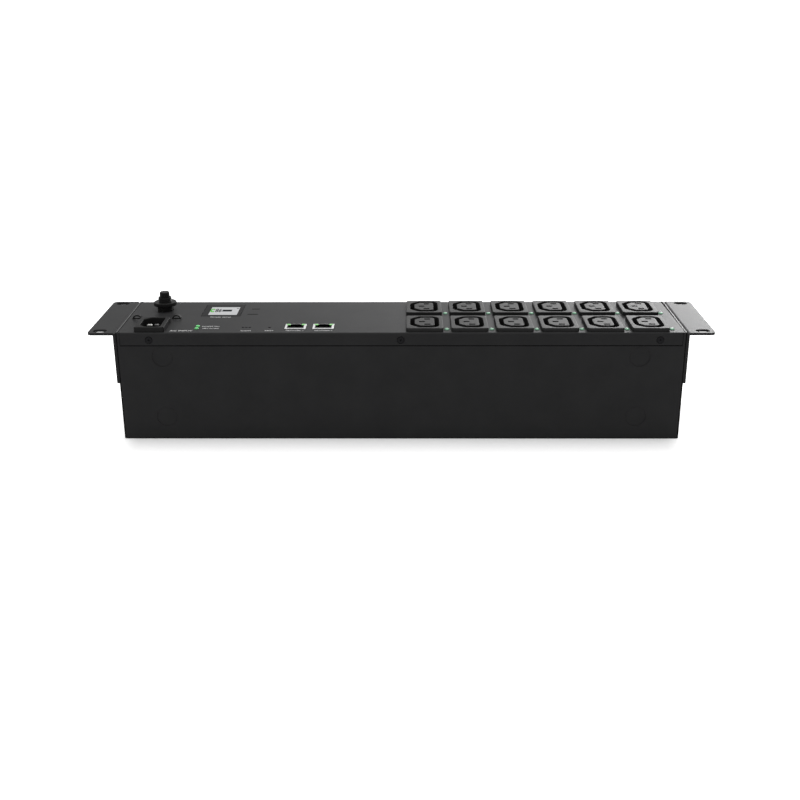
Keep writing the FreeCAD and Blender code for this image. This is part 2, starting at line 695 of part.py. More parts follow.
def latch(x, y, side, reach_from):
    """A snap wedge on the side of a moulded body that catches behind the panel."""
    top = PANEL_BACK - LATCH_GAP
    start = x + side * reach_from
    corners = [
        Vec(start, y - LATCH_WIDTH / 2, top),
        Vec(start + side * LATCH_REACH, y - LATCH_WIDTH / 2, top),
        Vec(start, y - LATCH_WIDTH / 2, top - LATCH_HEIGHT),
    ]
    return prism(corners, Vec(0, LATCH_WIDTH, 0))


def outlet(x, y):
    plate = clipped_block(x, y, PLATE_X, PLATE_Y, FACE, PLATE_TOP, PLATE_CORNER, PLATE_EDGE)
    neck = block(x, y, NECK_X, NECK_Y, FACE - OUTLET_DEPTH, FACE)
    body = plate.fuse([neck, latch(x, y, -1, NECK_X / 2), latch(x, y, 1, NECK_X / 2)])
    low = PLATE_TOP - GROOVE_DEPTH
    groove_key = CORE_KEY + GROOVE * (2 - math.sqrt(2))
    groove = keyed_block(x, y, CORE_X + 2 * GROOVE, CORE_Y + 2 * GROOVE, groove_key, low, PLATE_TOP)
    core = keyed_block(x, y, CORE_X, CORE_Y, CORE_KEY, low, PLATE_TOP - CORE_DROP)
    cuts = [groove.cut(core)]
    for dx, dy in POLES.values():
        slot_x = BLADE_X + 2 * BLADE_SLOT_GAP
        slot_y = BLADE_Y + 2 * BLADE_SLOT_GAP
        cuts.append(block(x + dx, y + dy, slot_x, slot_y, CONTACT_TOP, PLATE_TOP))
        cavity_x = BLADE_X + 2 * CAVITY_GAP
        cavity_y = CONTACT_Y + 2 * CAVITY_GAP
        cuts.append(block(x + dx, y + dy, cavity_x, cavity_y, FACE - OUTLET_DEPTH, CONTACT_TOP))
    return one_solid(body.cut(cuts))


def contact(x, y):
    """A fork stamped from strip, which grips the pin and stands on the relay board."""
    side = x - CONTACT_SHEET / 2
    half = CONTACT_Y / 2
    slot = CONTACT_SLOT / 2
    root = CONTACT_TOP - CONTACT_HEIGHT
    corners = [
        Vec(side, y - half, RELAY_BOARD_TOP),
        Vec(side, y + half, RELAY_BOARD_TOP),
        Vec(side, y + half, CONTACT_TOP),
        Vec(side, y + slot, CONTACT_TOP),
        Vec(side, y + slot, root),
        Vec(side, y - slot, root),
        Vec(side, y - slot, CONTACT_TOP),
        Vec(side, y - half, CONTACT_TOP),
    ]
    return prism(corners, Vec(CONTACT_SHEET, 0, 0))


def contacts(pole):
    dx, dy = POLES[pole]
    return group([contact(x + dx, y + dy) for y in ROWS for x in COLUMNS])


def light_post(x, y, z0):
    return post(x, y, PIPE_DIAMETER, z0, FACE + PIPE_PROUD)


def outlet_lights():
    """Light guides, each standing over its lamp on the relay board."""
    places = [(x + OUTLET_LIGHT_X, y + OUTLET_LIGHT_Y) for y in ROWS for x in COLUMNS]
    return group([light_post(x, y, RELAY_BOARD_TOP) for x, y in places])


# Mains inlet

def inlet_body():
    x = INLET.x
    y = INLET.y
    flange = clipped_block(x, y, INLET_FLANGE_X, INLET_FLANGE_Y, FACE, INLET_TOP, INLET_CORNER, PLATE_EDGE)
    neck = block(x, y, INLET_NECK_X, INLET_NECK_Y, INLET_BOTTOM, FACE)
    wedges = [latch(x, y, side, INLET_NECK_X / 2) for side in (-1, 1)]
    body = flange.fuse([neck] + wedges)
    cavity = keyed_block(x, y, INLET_CAVITY_X, INLET_CAVITY_Y, INLET_KEY, INLET_CAVITY_FLOOR, INLET_TOP)
    holes = []
    for dx, dy in POLES.values():
        holes.append(block(x + dx, y + dy, BLADE_X, BLADE_Y, INLET_BOTTOM, INLET_CAVITY_FLOOR))
    return one_solid(body.cut([cavity] + holes))


def inlet_pin(pole):
    dx, dy = POLES[pole]
    x = INLET.x + dx
    y = INLET.y + dy
    top = INLET_TOP - PIN_BELOW_RIM
    if pole != "earth":
        top -= EARTH_PIN_AHEAD
    blade = block(x, y, BLADE_X, BLADE_Y, PIN_END, top)
    tip = [edge for edge in blade.Edges if edge.BoundBox.ZMin > top - PIN_TIP]
    return one_solid(blade.makeChamfer(PIN_TIP, tip))


# Circuit breaker

def breaker_body():
    body = block(BREAKER.x, BREAKER.y, BREAKER_X, BREAKER_Y, BREAKER_BOTTOM, PANEL_BACK)
    neck = round_post(BREAKER.x, BREAKER.y, NECK_DIAMETER, PANEL_BACK, FACE + NECK_RISE)
    floor = BUTTON_BOTTOM - BUTTON_TRAVEL - BUTTON_FLOOR_GAP
    bore = round_post(BREAKER.x, BREAKER.y, BUTTON_DIAMETER + 2 * BUTTON_GAP, floor, FACE + NECK_RISE)
    return one_solid(body.fuse(neck).cut(bore))


def breaker_lock_nut():
    nut = hexagon(BREAKER.x, BREAKER.y, LOCK_NUT_FLATS, FACE, FACE + LOCK_NUT_HEIGHT)
    nut.rotate(BREAKER, Vec(0, 0, 1), LOCK_NUT_TURN)
    bore = round_post(BREAKER.x, BREAKER.y, NECK_DIAMETER + 2 * THREAD_GAP, FACE, FACE + LOCK_NUT_HEIGHT)
    return one_solid(nut.cut(bore))


def breaker_ring_nut():
    low = FACE + LOCK_NUT_HEIGHT
    high = low + RING_NUT_HEIGHT
    ring = round_post(BREAKER.x, BREAKER.y, RING_NUT_DIAMETER, low, high)
    return one_solid(ring.cut(round_post(BREAKER.x, BREAKER.y, NECK_DIAMETER + 2 * THREAD_GAP, low, high)))


def breaker_button():
    top = FACE + BUTTON_RISE
    button = round_post(BREAKER.x, BREAKER.y, BUTTON_DIAMETER, BUTTON_BOTTOM, top)
    rim = [edge for edge in button.Edges if edge.BoundBox.ZMin > top - BUTTON_EDGE]
    return one_solid(button.makeChamfer(BUTTON_EDGE, rim))


def breaker_tabs():
    size = (TAB_THICKNESS, TAB_WIDTH)
    return group([block(BREAKER.x, y, *size, TAB_END, BREAKER_BOTTOM) for y in BREAKER_TABS_Y])


# Display

def display_glass():
    top = PANEL_BACK + GLASS_THICKNESS
    return one_solid(block(DISPLAY.x, DISPLAY.y, GLASS_X, GLASS_Y, PANEL_BACK, top))


def display_module():
    size_x = GLASS_X + 2 * MODULE_BORDER
    size_y = GLASS_Y + 2 * MODULE_BORDER
    return one_solid(block(DISPLAY.x, DISPLAY.y, size_x, size_y, PANEL_BACK - MODULE_THICKNESS, PANEL_BACK))


def display_ribbon():
    high = PANEL_BACK - MODULE_THICKNESS
    return block(DISPLAY.x, DISPLAY.y, RIBBON_WIDTH, RIBBON_THICKNESS, CONTROL_TOP, high)


# Network jacks

def plug_opening(jack, z0, z1):
    """The plug's opening with the notch for its latch on the far side."""
    y = jack.y + PLUG_SHIFT_Y
    opening = block(jack.x, y, PLUG_X, PLUG_Y, z0, z1)
    notch_y = y + PLUG_Y / 2 + LATCH_NOTCH_Y / 2
    notch = block(jack.x, notch_y, LATCH_NOTCH_X, LATCH_NOTCH_Y, z0, z1)
    return opening.fuse(notch).removeSplitter()


def light_places(jack):
    y = jack.y + JACK_Y / 2 - LIGHT_INSET - LIGHT_Y / 2
    reach = JACK_X / 2 - LIGHT_INSET - LIGHT_X / 2
    return [(jack.x - reach, y), (jack.x + reach, y)]


def light_pockets(jack, z0, z1):
    size = (LIGHT_X + 2 * JACK_GAP, LIGHT_Y + 2 * JACK_GAP)
    return [block(x, y, *size, z0, z1) for x, y in light_places(jack)]


def jack_shield(jack):
    top = FACE + JACK_PROUD
    front = top - JACK_SHEET
    shell = block(jack.x, jack.y, JACK_X, JACK_Y, CONTROL_TOP, top)
    inside = block(jack.x, jack.y, JACK_X - 2 * JACK_SHEET, JACK_Y - 2 * JACK_SHEET, CONTROL_TOP, front)
    openings = [plug_opening(jack, front, top)] + light_pockets(jack, front, top)
    return one_solid(shell.cut([inside] + openings))


def jack_insert(jack):
    front = FACE + JACK_PROUD - JACK_SHEET
    size_x = JACK_X - 2 * JACK_SHEET - 2 * JACK_GAP
    size_y = JACK_Y - 2 * JACK_SHEET - 2 * JACK_GAP
    insert = block(jack.x, jack.y, size_x, size_y, CONTROL_TOP, front)
    cuts = [plug_opening(jack, front - PLUG_DEPTH, front)]
    cuts += light_pockets(jack, front - LIGHT_DEPTH, front)
    return one_solid(insert.cut(cuts))


def jack_wires(jack):
    """Eight spring wires that lean into the plug's opening from its near wall."""
    front = FACE + JACK_PROUD - JACK_SHEET
    wall = jack.y + PLUG_SHIFT_Y - PLUG_Y / 2
    wires = []
    for i in range(WIRE_COUNT):
        x = jack.x + (i - (WIRE_COUNT - 1) / 2) * WIRE_PITCH - WIRE_WIDTH / 2
        corners = [
            Vec(x, wall, front - WIRE_DROP),
            Vec(x, wall + WIRE_WIDTH, front - WIRE_DROP),
            Vec(x, wall + WIRE_REACH, front - WIRE_FOOT),
            Vec(x, wall, front - WIRE_FOOT),
        ]
        wires.append(prism(corners, Vec(WIRE_WIDTH, 0, 0)))
    return wires


def jack_contacts():
    return group([wire for jack in JACKS for wire in jack_wires(jack)])


def jack_lights():
    top = FACE + JACK_PROUD
    low = top - JACK_SHEET - LIGHT_DEPTH
    places = [place for jack in JACKS for place in light_places(jack)]
    return group([block(x, y, LIGHT_X, LIGHT_Y, low, top) for x, y in places])


# Control board

def control_board():
    return one_solid(box(*CONTROL_X, -BOARD_HALF_Y, BOARD_HALF_Y, CONTROL_BOTTOM, CONTROL_TOP))


def status_light_pipe():
    low = CONTROL_TOP + PIPE_RUNNER_LIFT
    half = PIPE_RUNNER / 2
    runner = box(STATUS_X - half, STATUS_X + half, STATUS_YS[0], STATUS_YS[1], low, low + PIPE_RUNNER)
    return one_solid(runner.fuse([light_post(STATUS_X, y, CONTROL_TOP) for y in STATUS_YS]))


def buzzer():
    top = CONTROL_TOP + BUZZER_HEIGHT
    can = post(BUZZER.x, BUZZER.y, BUZZER_DIAMETER, CONTROL_TOP, top)
    return one_solid(can.cut(post(BUZZER.x, BUZZER.y, BUZZER_PORT, top - BUZZER_PORT, top)))


def reset_switch():
    top = CONTROL_TOP + SWITCH_HEIGHT
    case = block(RESET.x, RESET.y, SWITCH_SIDE, SWITCH_SIDE, CONTROL_TOP, top)
    bore = post(RESET.x, RESET.y, PLUNGER_DIAMETER + 2 * PLUNGER_GAP, CONTROL_TOP + SWITCH_FLOOR, top)
    return one_solid(case.cut(bore))


def reset_plunger():
    return one_solid(post(RESET.x, RESET.y, PLUNGER_DIAMETER, PLUNGER_BOTTOM, PLUNGER_TOP))


def control_ribbon():
    """A flat cable from the rear of the control board down to the relay board below its end."""
    x = CONTROL_X[1] - BOARD_LAP / 2
    y = ROW_GAP_Y + CONTROL_RIBBON_WIDTH / 2
    return block(x, y, RIBBON_THICKNESS, CONTROL_RIBBON_WIDTH, RELAY_BOARD_TOP, CONTROL_BOTTOM)


def flat_cables():
    return group([display_ribbon(), control_ribbon()])


# Relay board

def relay_board():
    return one_solid(box(*RELAY_BOARD_X, -BOARD_HALF_Y, BOARD_HALF_Y, RELAY_BOARD_BOTTOM, RELAY_BOARD_TOP))


def relays():
    low = RELAY_BOARD_BOTTOM - RELAY_HEIGHT
    places = [(x + RELAY_SHIFT_X, y) for y in ROWS for x in COLUMNS]
    return group([block(x, y, RELAY_X, RELAY_Y, low, RELAY_BOARD_BOTTOM) for x, y in places])


def terminal(y):
    """A clamp block under the relay board, its hole wide enough for the corners of a lead."""
    low = RELAY_BOARD_BOTTOM - TERMINAL_HEIGHT
    case = block(TERMINAL_LEFT + TERMINAL_X / 2, y, TERMINAL_X, TERMINAL_Y, low, RELAY_BOARD_BOTTOM)
    start = Vec(TERMINAL_LEFT, y, LEAD_LEVEL)
    return case.cut(flats_rod(start, Vec(TERMINAL_ENTRY, 0, 0), LEAD_HOLE, LEAD_SIDES))


def lead_terminals():
    return group([terminal(BREAKER_TABS_Y[1]), terminal(INLET.y + POLES["neutral"][1])])


def support(place, z0, z1):
    """A hexagonal spacer between a board and the sheet that carries it."""
    return hexagon(place.x, place.y, SUPPORT_FLATS, z0, z1)


def board_supports():
    posts = [support(place, CONTROL_TOP, PANEL_BACK) for place in CONTROL_SUPPORTS]
    posts += [support(place, RELAY_BOARD_TOP, PANEL_BACK) for place in RELAY_SUPPORTS]
    posts += [support(place, SHEET, SUPPLY_BOTTOM) for place in SUPPLY_SUPPORTS]
    return group(posts)


# Power supply

def supply_board():
    return one_solid(box(SUPPLY_LEFT, SUPPLY_RIGHT, -SUPPLY_Y / 2, SUPPLY_Y / 2, SUPPLY_BOTTOM, SUPPLY_TOP))


def filter_capacitor():
    x = SUPPLY_LEFT + 2 * SUPPORT_EDGE_X + FILTER_X / 2
    return one_solid(block(x, 0, FILTER_X, FILTER_Y, SUPPLY_TOP, SUPPLY_TOP + FILTER_HEIGHT))


def storage_capacitor():
    x = SUPPLY_LEFT + 2 * SUPPORT_EDGE_X + FILTER_X + PART_SPACING + STORAGE_DIAMETER / 2
    return one_solid(round_post(x, 0, STORAGE_DIAMETER, SUPPLY_TOP, SUPPLY_TOP + STORAGE_HEIGHT))


def supply_transformer():
    left = SUPPLY_LEFT + 2 * SUPPORT_EDGE_X + FILTER_X + 2 * PART_SPACING + STORAGE_DIAMETER
    x = left + TRANSFORMER_X / 2
    return one_solid(block(x, 0, TRANSFORMER_X, TRANSFORMER_Y, SUPPLY_TOP, SUPPLY_TOP + TRANSFORMER_HEIGHT))


# Leads

def line_lead():
    x = INLET.x + POLES["line"][0]
    y = INLET.y + POLES["line"][1]
    end = BREAKER_TABS_Y[0]
    return one_solid(lead([
        Vec(x, y, PIN_END),
        Vec(x, y, LEAD_LEVEL),
        Vec(BREAKER.x, end, LEAD_LEVEL),
        Vec(BREAKER.x, end, TAB_END),
    ]))


def breaker_lead():
    y = BREAKER_TABS_Y[1]
    return one_solid(lead([
        Vec(BREAKER.x, y, TAB_END),
        Vec(BREAKER.x, y, LEAD_LEVEL),
        Vec(TERMINAL_LEFT + TERMINAL_ENTRY, y, LEAD_LEVEL),
    ]))


def neutral_lead():
    x = INLET.x + POLES["neutral"][0]
    y = INLET.y + POLES["neutral"][1]
    return one_solid(lead([
        Vec(x, y, PIN_END),
        Vec(x, y, LEAD_LEVEL),
        Vec(TERMINAL_LEFT + TERMINAL_ENTRY, y, LEAD_LEVEL),
    ]))


def earth_lead():
    """The earth lead, crimped into a ring lug that lies on the rear wall around the stud."""
    x = EARTH_STUD.x
    barrel_end = EARTH_STUD.y - LUG_DIAMETER / 2
    barrel_start = barrel_end - LUG_BARREL_LENGTH
    level = SHEET + LUG_BARREL / 2
    wire = lead([
        Vec(x, INLET.y, PIN_END),
        Vec(x, INLET.y, level),
        Vec(x, barrel_end, level),
    ])
    half = LUG_BARREL / 2
    barrel = box(x - half, x + half, barrel_start, barrel_end, SHEET, SHEET + LUG_BARREL)
    tongue = box(x - half, x + half, barrel_start, EARTH_STUD.y, SHEET, SHEET + LUG_THICKNESS)
    ring = post(x, EARTH_STUD.y, LUG_DIAMETER, SHEET, SHEET + LUG_THICKNESS)
    hole = post(x, EARTH_STUD.y, STUD_DIAMETER + 2 * SCREW_CLEARANCE, SHEET, SHEET + LUG_THICKNESS)
    return one_solid(wire.fuse([barrel, tongue, ring]).cut(hole))


def earth_nut():
    low = SHEET + LUG_THICKNESS
    high = low + EARTH_NUT_HEIGHT
    nut = hexagon(EARTH_STUD.x, EARTH_STUD.y, EARTH_NUT_FLATS, low, high)
    bore = post(EARTH_STUD.x, EARTH_STUD.y, STUD_DIAMETER + 2 * THREAD_GAP, low, high)
    return one_solid(nut.cut(bore))


def mains_feed():
    """A cable from the relay board straight down to the power supply board."""
    return post(SUPPLY_RIGHT - 2 * FEED_INSET, 0, FEED_DIAMETER, SUPPLY_TOP, RELAY_BOARD_BOTTOM)


def low_voltage_lead():
    """A cable from the power supply board straight up to the control board."""
    y = -SUPPLY_Y / 2 + 2 * FEED_INSET
    return post(SUPPLY_LEFT + FEED_INSET, y, FEED_DIAMETER, SUPPLY_TOP, CONTROL_BOTTOM)


def board_cables():
    return group([mains_feed(), low_voltage_lead()])


# Export, one file per node

pieces = {
    "front_panel": front_panel(),
    "rear_housing": rear_housing(),
    "rack_ear_left": rack_ear(-1),
    "rack_ear_right": rack_ear(1),
    "panel_screws": panel_screws(),
    "ear_screws": ear_screws(),
    "line_contacts": contacts("line"),
    "neutral_contacts": contacts("neutral"),
    "earth_contacts": contacts("earth"),
    "inlet_body": inlet_body(),
    "inlet_line_pin": inlet_pin("line"),
    "inlet_neutral_pin": inlet_pin("neutral"),
    "inlet_earth_pin": inlet_pin("earth"),
    "breaker_body": breaker_body(),
    "breaker_lock_nut": breaker_lock_nut(),
    "breaker_ring_nut": breaker_ring_nut(),
    "breaker_button": breaker_button(),
    "breaker_tabs": breaker_tabs(),
    "display_glass": display_glass(),
    "display_module": display_module(),
    "jack_contacts": jack_contacts(),
    "jack_lights": jack_lights(),
    "control_board": control_board(),
    "status_light_pipe": status_light_pipe(),
    "buzzer": buzzer(),
    "reset_switch": reset_switch(),
    "reset_plunger": reset_plunger(),
    "flat_cables": flat_cables(),
    "outlet_lights": outlet_lights(),
    "relay_board": relay_board(),
    "relays": relays(),
    "lead_terminals": lead_terminals(),
    "board_supports": board_supports(),
    "supply_board": supply_board(),
    "filter_capacitor": filter_capacitor(),
    "storage_capacitor": storage_capacitor(),
    "supply_transformer": supply_transformer(),
    "line_lead": line_lead(),
    "breaker_lead": breaker_lead(),
    "neutral_lead": neutral_lead(),
    "earth_lead": earth_lead(),
    "earth_nut": earth_nut(),
    "board_cables": board_cables(),
}
for row, y in enumerate(ROWS):
    for column, x in enumerate(COLUMNS):
        pieces["outlet_%02d" % (row * OUTLET_COLUMNS + column + 1)] = outlet(x, y)
for number, jack in enumerate(JACKS, 1):
    pieces["jack_shield_%d" % number] = jack_shield(jack)
    pieces["jack_insert_%d" % number] = jack_insert(jack)

for name, shape in pieces.items():
    shape.exportStep("parts/%s.step" % name)
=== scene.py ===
import math

import bmesh
import bpy
from mathutils import Matrix, Vector

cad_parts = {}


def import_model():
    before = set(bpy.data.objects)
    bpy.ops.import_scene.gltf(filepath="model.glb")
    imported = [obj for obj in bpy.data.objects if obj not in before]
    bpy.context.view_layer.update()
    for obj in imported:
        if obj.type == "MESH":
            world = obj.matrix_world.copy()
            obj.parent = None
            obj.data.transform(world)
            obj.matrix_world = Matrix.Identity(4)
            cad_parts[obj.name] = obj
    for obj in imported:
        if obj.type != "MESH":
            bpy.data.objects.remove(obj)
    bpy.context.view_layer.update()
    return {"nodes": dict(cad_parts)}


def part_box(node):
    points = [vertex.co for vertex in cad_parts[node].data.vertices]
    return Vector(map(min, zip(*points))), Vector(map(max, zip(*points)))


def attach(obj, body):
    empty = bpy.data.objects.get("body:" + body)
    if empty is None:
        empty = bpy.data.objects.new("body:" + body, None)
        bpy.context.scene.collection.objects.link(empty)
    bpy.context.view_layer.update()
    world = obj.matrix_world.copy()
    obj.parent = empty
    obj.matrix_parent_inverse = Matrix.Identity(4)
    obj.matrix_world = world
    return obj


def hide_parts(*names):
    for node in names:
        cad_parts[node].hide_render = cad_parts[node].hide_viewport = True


# Looks of a rack power distribution unit that lies on its rear face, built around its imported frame.
# Metres, in the frame's axes: +Z comes out of the front panel, +X runs right, +Y to the unit's top edge.

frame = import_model()
scene = bpy.context.scene
MM = 0.001

# Camera
CAMERA_PLACE = (0.00631, -0.86859, 0.34755)
CAMERA_TILT = math.radians(69.130)
CAMERA_TURN = math.radians(0.486)
CAMERA_ROLL = math.radians(-0.171)
CAMERA_LENS_MM = 50.672
CAMERA_SENSOR_MM = 36.0

# Light and stage
AMBIENT = 0.55
FLOOR_SIDE = 60.0
FLOOR_COLOUR = (0.80, 0.80, 0.80, 1.0)
GLOW_SHADOW = 0.31
GLOW_OPEN = 0.80
# The shadow in front of the unit fades between the two places of each pair
SHADOW_HALF_X = (0.206, 0.232)
SHADOW_FRONT_Y = (-0.40, -0.15)
SHADOW_BACK_Y = (-0.044, -0.034)
BACK_STRIPS = 12
BACK_FIRST = (-0.30, 1.60, 0.58)
BACK_STRIP_WIDTH = 0.10
BACK_STRIP_HEIGHT = 0.70
BACK_POWER = 0.092
BACK_GROWTH = 1.42
BACK_AIM = (0.0, -1.0, -0.3)
# Name, place, aim, width and height in metres, and power in watts
LAMPS = [
    ("lamp_top", (0.0, 0.30, 1.90), (0.0, 0.0, 0.0), 1.4, 0.75, 24.0),
    ("lamp_front", (-0.5, -1.90, 1.10), (0.0, 0.0, 0.05), 1.0, 1.0, 5.4),
]

# Paint with painted shade: its colour and shine are taken off in narrow gaps, where shade falls
PAINT_SHINE = 0.022
SHADE_REACH = 1.2 * MM
SHADE_OPENNESS = (0.25, 0.70)
SHADE_SAMPLES = 4

# Range in which most of a noise lies
NOISE_LOW = 0.3
NOISE_HIGH = 0.7

# Edges and rounds
CORNER_STEPS = 6
SLOT_STEPS = 2
FILLET_STEPS = 3
LATHE_SIDES = 48
SHARPEST = 0.03 * MM
SHARP_ANGLE = math.radians(32.0)
BEVEL_ANGLE = math.radians(30.0)
BEVEL_STEPS = 2
FLAT_ANGLE = math.radians(0.5)
WELD_REACH = 0.004 * MM
EDGES = {
    "front_panel": 0.12 * MM,
    "rear_housing": 0.20 * MM,
    "rack_ear_left": 0.12 * MM,
    "rack_ear_right": 0.12 * MM,
    "display_glass": 0.15 * MM,
    "inlet_line_pin": 0.15 * MM,
    "inlet_neutral_pin": 0.15 * MM,
    "inlet_earth_pin": 0.15 * MM,
    "jack_shield_1": 0.08 * MM,
    "jack_shield_2": 0.08 * MM,
    "jack_insert_1": 0.10 * MM,
    "jack_insert_2": 0.10 * MM,
    "jack_lights": 0.15 * MM,
    "breaker_body": 0.15 * MM,
    "breaker_lock_nut": 0.20 * MM,
}

# Mains outlets
OUTLET_COUNT = 12
PLATE_RISE = 3.0 * MM
PLATE_ROUND = 2.0 * MM
PLATE_FILLET = 0.5 * MM
CORE_X = 15.3 * MM
CORE_Y = 22.3 * MM
CORE_KEY = 4.8 * MM
CORE_ROUND = 2.6 * MM
CORE_KEY_ROUND = 1.2 * MM
CORE_RISE = 0.15 * MM
CORE_SHORT = 0.8 * MM
GROOVE = 3.6 * MM
GROOVE_DEPTH = 16.0 * MM
GROOVE_EDGE = 0.2 * MM
OUTLET_WALL = 1.2 * MM
OUTLET_DEPTH = 21.0 * MM
NECK_ROUND = 1.0 * MM
KEY_OFFSET = 2.05 * MM
POLE_OFFSET = 7.0 * MM
POLES = [(KEY_OFFSET, POLE_OFFSET), (KEY_OFFSET, -POLE_OFFSET), (-KEY_OFFSET, 0.0)]
SLOT_X = 4.4 * MM
SLOT_Y = 2.4 * MM
SLOT_ROUND = 0.2 * MM
SLOT_LEAD_IN = 0.35 * MM
SLOT_DEPTH = 5.0 * MM
CAVITY_X = 4.4 * MM
CAVITY_Y = 3.7 * MM

# Mains inlet
INLET_ROUND = 1.8 * MM
INLET_FILLET = 0.6 * MM
INLET_RISE = 4.0 * MM
INLET_CAVITY_X = 16.3 * MM
INLET_CAVITY_Y = 23.8 * MM
INLET_KEY = 5.0 * MM
INLET_CAVITY_ROUND = 1.6 * MM
INLET_CAVITY_DEPTH = 17.0 * MM
INLET_WALL = 1.2 * MM
INLET_LIP = 0.5 * MM
INLET_PINS = ("inlet_line_pin", "inlet_neutral_pin", "inlet_earth_pin")
PIN_HOLE_STEPS = 1

# Light guides
LENS_RADIUS = 1.5 * MM
LENS_DOME = 0.45 * MM
CAP_RADIUS = 1.9 * MM
CAP_RISE = 1.1 * MM
LENS_STEPS = 5
LENS_SIDES = 24

# Case edges and network jacks
EDGE_STRIP_WIDTH = 1.1 * MM
EDGE_STRIP_INSET = 0.05 * MM
EDGE_STRIP_END = 2.0 * MM
COLLAR = 0.05 * MM
JACK_COUNT = 2
# Left, right, near and far limits in mm from the jack's centre
COLLAR_BARS = [
    (-6.6, 6.6, -5.5, -3.3),
    (-6.6, -6.0, -3.3, 3.4),
    (6.0, 6.6, -3.3, 3.4),
    (-4.3, -3.1, 4.7, 6.75),
    (3.1, 4.3, 4.7, 6.75),
    (-8.2, 8.2, 6.05, 6.75),
]

# Circuit breaker
BUTTON_ROUND = 1.1 * MM
BUTTON_STEPS = 6
BUTTON_GAP = 0.3 * MM
THREAD_PITCH = 0.8 * MM
THREAD_DEPTH = 0.3 * MM
NECK_RADIUS = 5.1 * MM
RING_GAP = 0.05 * MM
RING_FILLET = 0.6 * MM
RING_KNURL = 0.15 * MM
RING_SIDES = 120

# Screws, with the recess's reach as a share of the head's radius
PANEL_SCREW = {"head": 5.2 * MM, "shank": 3.0 * MM, "length": 2.7 * MM, "recess": 0.36}
EAR_SCREW = {"head": 7.2 * MM, "shank": 4.0 * MM, "length": 6.8 * MM, "recess": 0.60}
HEAD_EDGE = 0.25 * MM
RECESS_DEPTH = 1.1 * MM
# Shares of the recess: half the width of its arms, and what is left of it at its floor
RECESS_ARM = 0.31
RECESS_TAPER = 0.45

# Display, printed marks, and bars of painted shade
SCREEN_CENTRE = Vector((-144.35 * MM, 15.65 * MM))
SCREEN_X = 23.1 * MM
SCREEN_Y = 22.1 * MM
MARK_ROUND = 0.3 * MM
INK = 0.02 * MM
INK_LIFT = 0.012 * MM
MARK_STEPS = 3
# Letters are made bolder by a share of their size
LETTER_SPREAD = 0.018
LETTER_STEPS = 3
# Name, text, and the centre's x and y and the width in mm
LABELS = [
    ("label_meter", "POWER METER", -144.75, -1.6, 16.6),
    ("label_power", "POWER ON", -148.6, -26.8, 13.1),
    ("label_network", "NETWORK", -147.8, -32.1, 13.1),
    ("label_inlet", "AC INPUT", -169.7, -38.05, 17.6),
    ("label_alarm", "ALARM", -119.9, -38.1, 8.1),
    ("label_reset", "RESET", -101.7, -37.9, 6.65),
    ("label_jack_1", "NETWORK 1", -82.0, -37.7, 13.4),
    ("label_jack_2", "NETWORK 2", -59.8, -37.7, 13.75),
]
# Painted shade: dark bars where two small marks in the panel lie in shade
# Centre x and y, width and height in mm
SHADE_BARS = [(-119.3, 21.5, 6.6, 2.0), (-120.1, 6.5, 8.35, 2.0)]
# The gauge, with the half axes of its inner and outer edges
GAUGE_PLACE = (-9.5 * MM, 1.5 * MM)
GAUGE_INNER = (0.9 * MM, 2.2 * MM)
GAUGE_OUTER = (2.2 * MM, 5.0 * MM)
GAUGE_SPAN = math.radians(280.0)
GAUGE_STEPS = 24
READING_PLACE = (-4.9 * MM, 1.0 * MM)
READING_WIDTH = 5.2 * MM
READING_STRETCH = 2.4
# Name, place from the screen's centre, width and height
SCREEN_MARKS = [
    ("screen_bar", 2.1 * MM, 1.1 * MM, 7.8 * MM, 5.2 * MM),
    ("screen_corner_mark", 10.0 * MM, 7.6 * MM, 1.8 * MM, 1.4 * MM),
]


# Node helpers

def new_material(name, roughness=0.5, metallic=0.0, specular=0.5):
    """A material with its uniform values on the shader's own sockets."""
    made = bpy.data.materials.new(name)
    made.use_nodes = True
    tree = made.node_tree
    shader = tree.nodes["Principled BSDF"]
    shader.inputs["Roughness"].default_value = roughness
    shader.inputs["Metallic"].default_value = metallic
    shader.inputs["Specular IOR Level"].default_value = specular
    return made, tree, shader


def object_space(tree, stretch=(1.0, 1.0, 1.0)):
    """Places on the piece in its own axes, each times its stretch."""
    place = tree.nodes.new("ShaderNodeTexCoord")
    mapping = tree.nodes.new("ShaderNodeMapping")
    mapping.inputs["Scale"].default_value = stretch
    tree.links.new(place.outputs["Object"], mapping.inputs["Vector"])
    return mapping.outputs["Vector"]


def noise(tree, scale, detail=3.0, stretch=(1.0, 1.0, 1.0)):
    """Cloudy noise fixed to the piece, with its scale in features per metre."""
    texture = tree.nodes.new("ShaderNodeTexNoise")
    texture.inputs["Scale"].default_value = scale
    texture.inputs["Detail"].default_value = detail
    tree.links.new(object_space(tree, stretch), texture.inputs["Vector"])
    return texture.outputs["Fac"]


def stripes(tree, scale, axis="X"):
    """Parallel bands across one axis of the piece."""
    texture = tree.nodes.new("ShaderNodeTexWave")
    texture.bands_direction = axis
    texture.inputs["Scale"].default_value = scale
    tree.links.new(object_space(tree), texture.inputs["Vector"])
    return texture.outputs["Fac"]


def colour_between(tree, shader, source, dark, light,
                   start=NOISE_LOW, end=NOISE_HIGH, socket="Base Color"):
    """Colours the shader from dark to light as the source goes from start to end."""
    ramp = tree.nodes.new("ShaderNodeValToRGB")
    ramp.color_ramp.elements[0].position = start
    ramp.color_ramp.elements[1].position = end
    ramp.color_ramp.elements[0].color = (*dark, 1.0)
    ramp.color_ramp.elements[1].color = (*light, 1.0)
    tree.links.new(source, ramp.inputs["Fac"])
    tree.links.new(ramp.outputs["Color"], shader.inputs[socket])


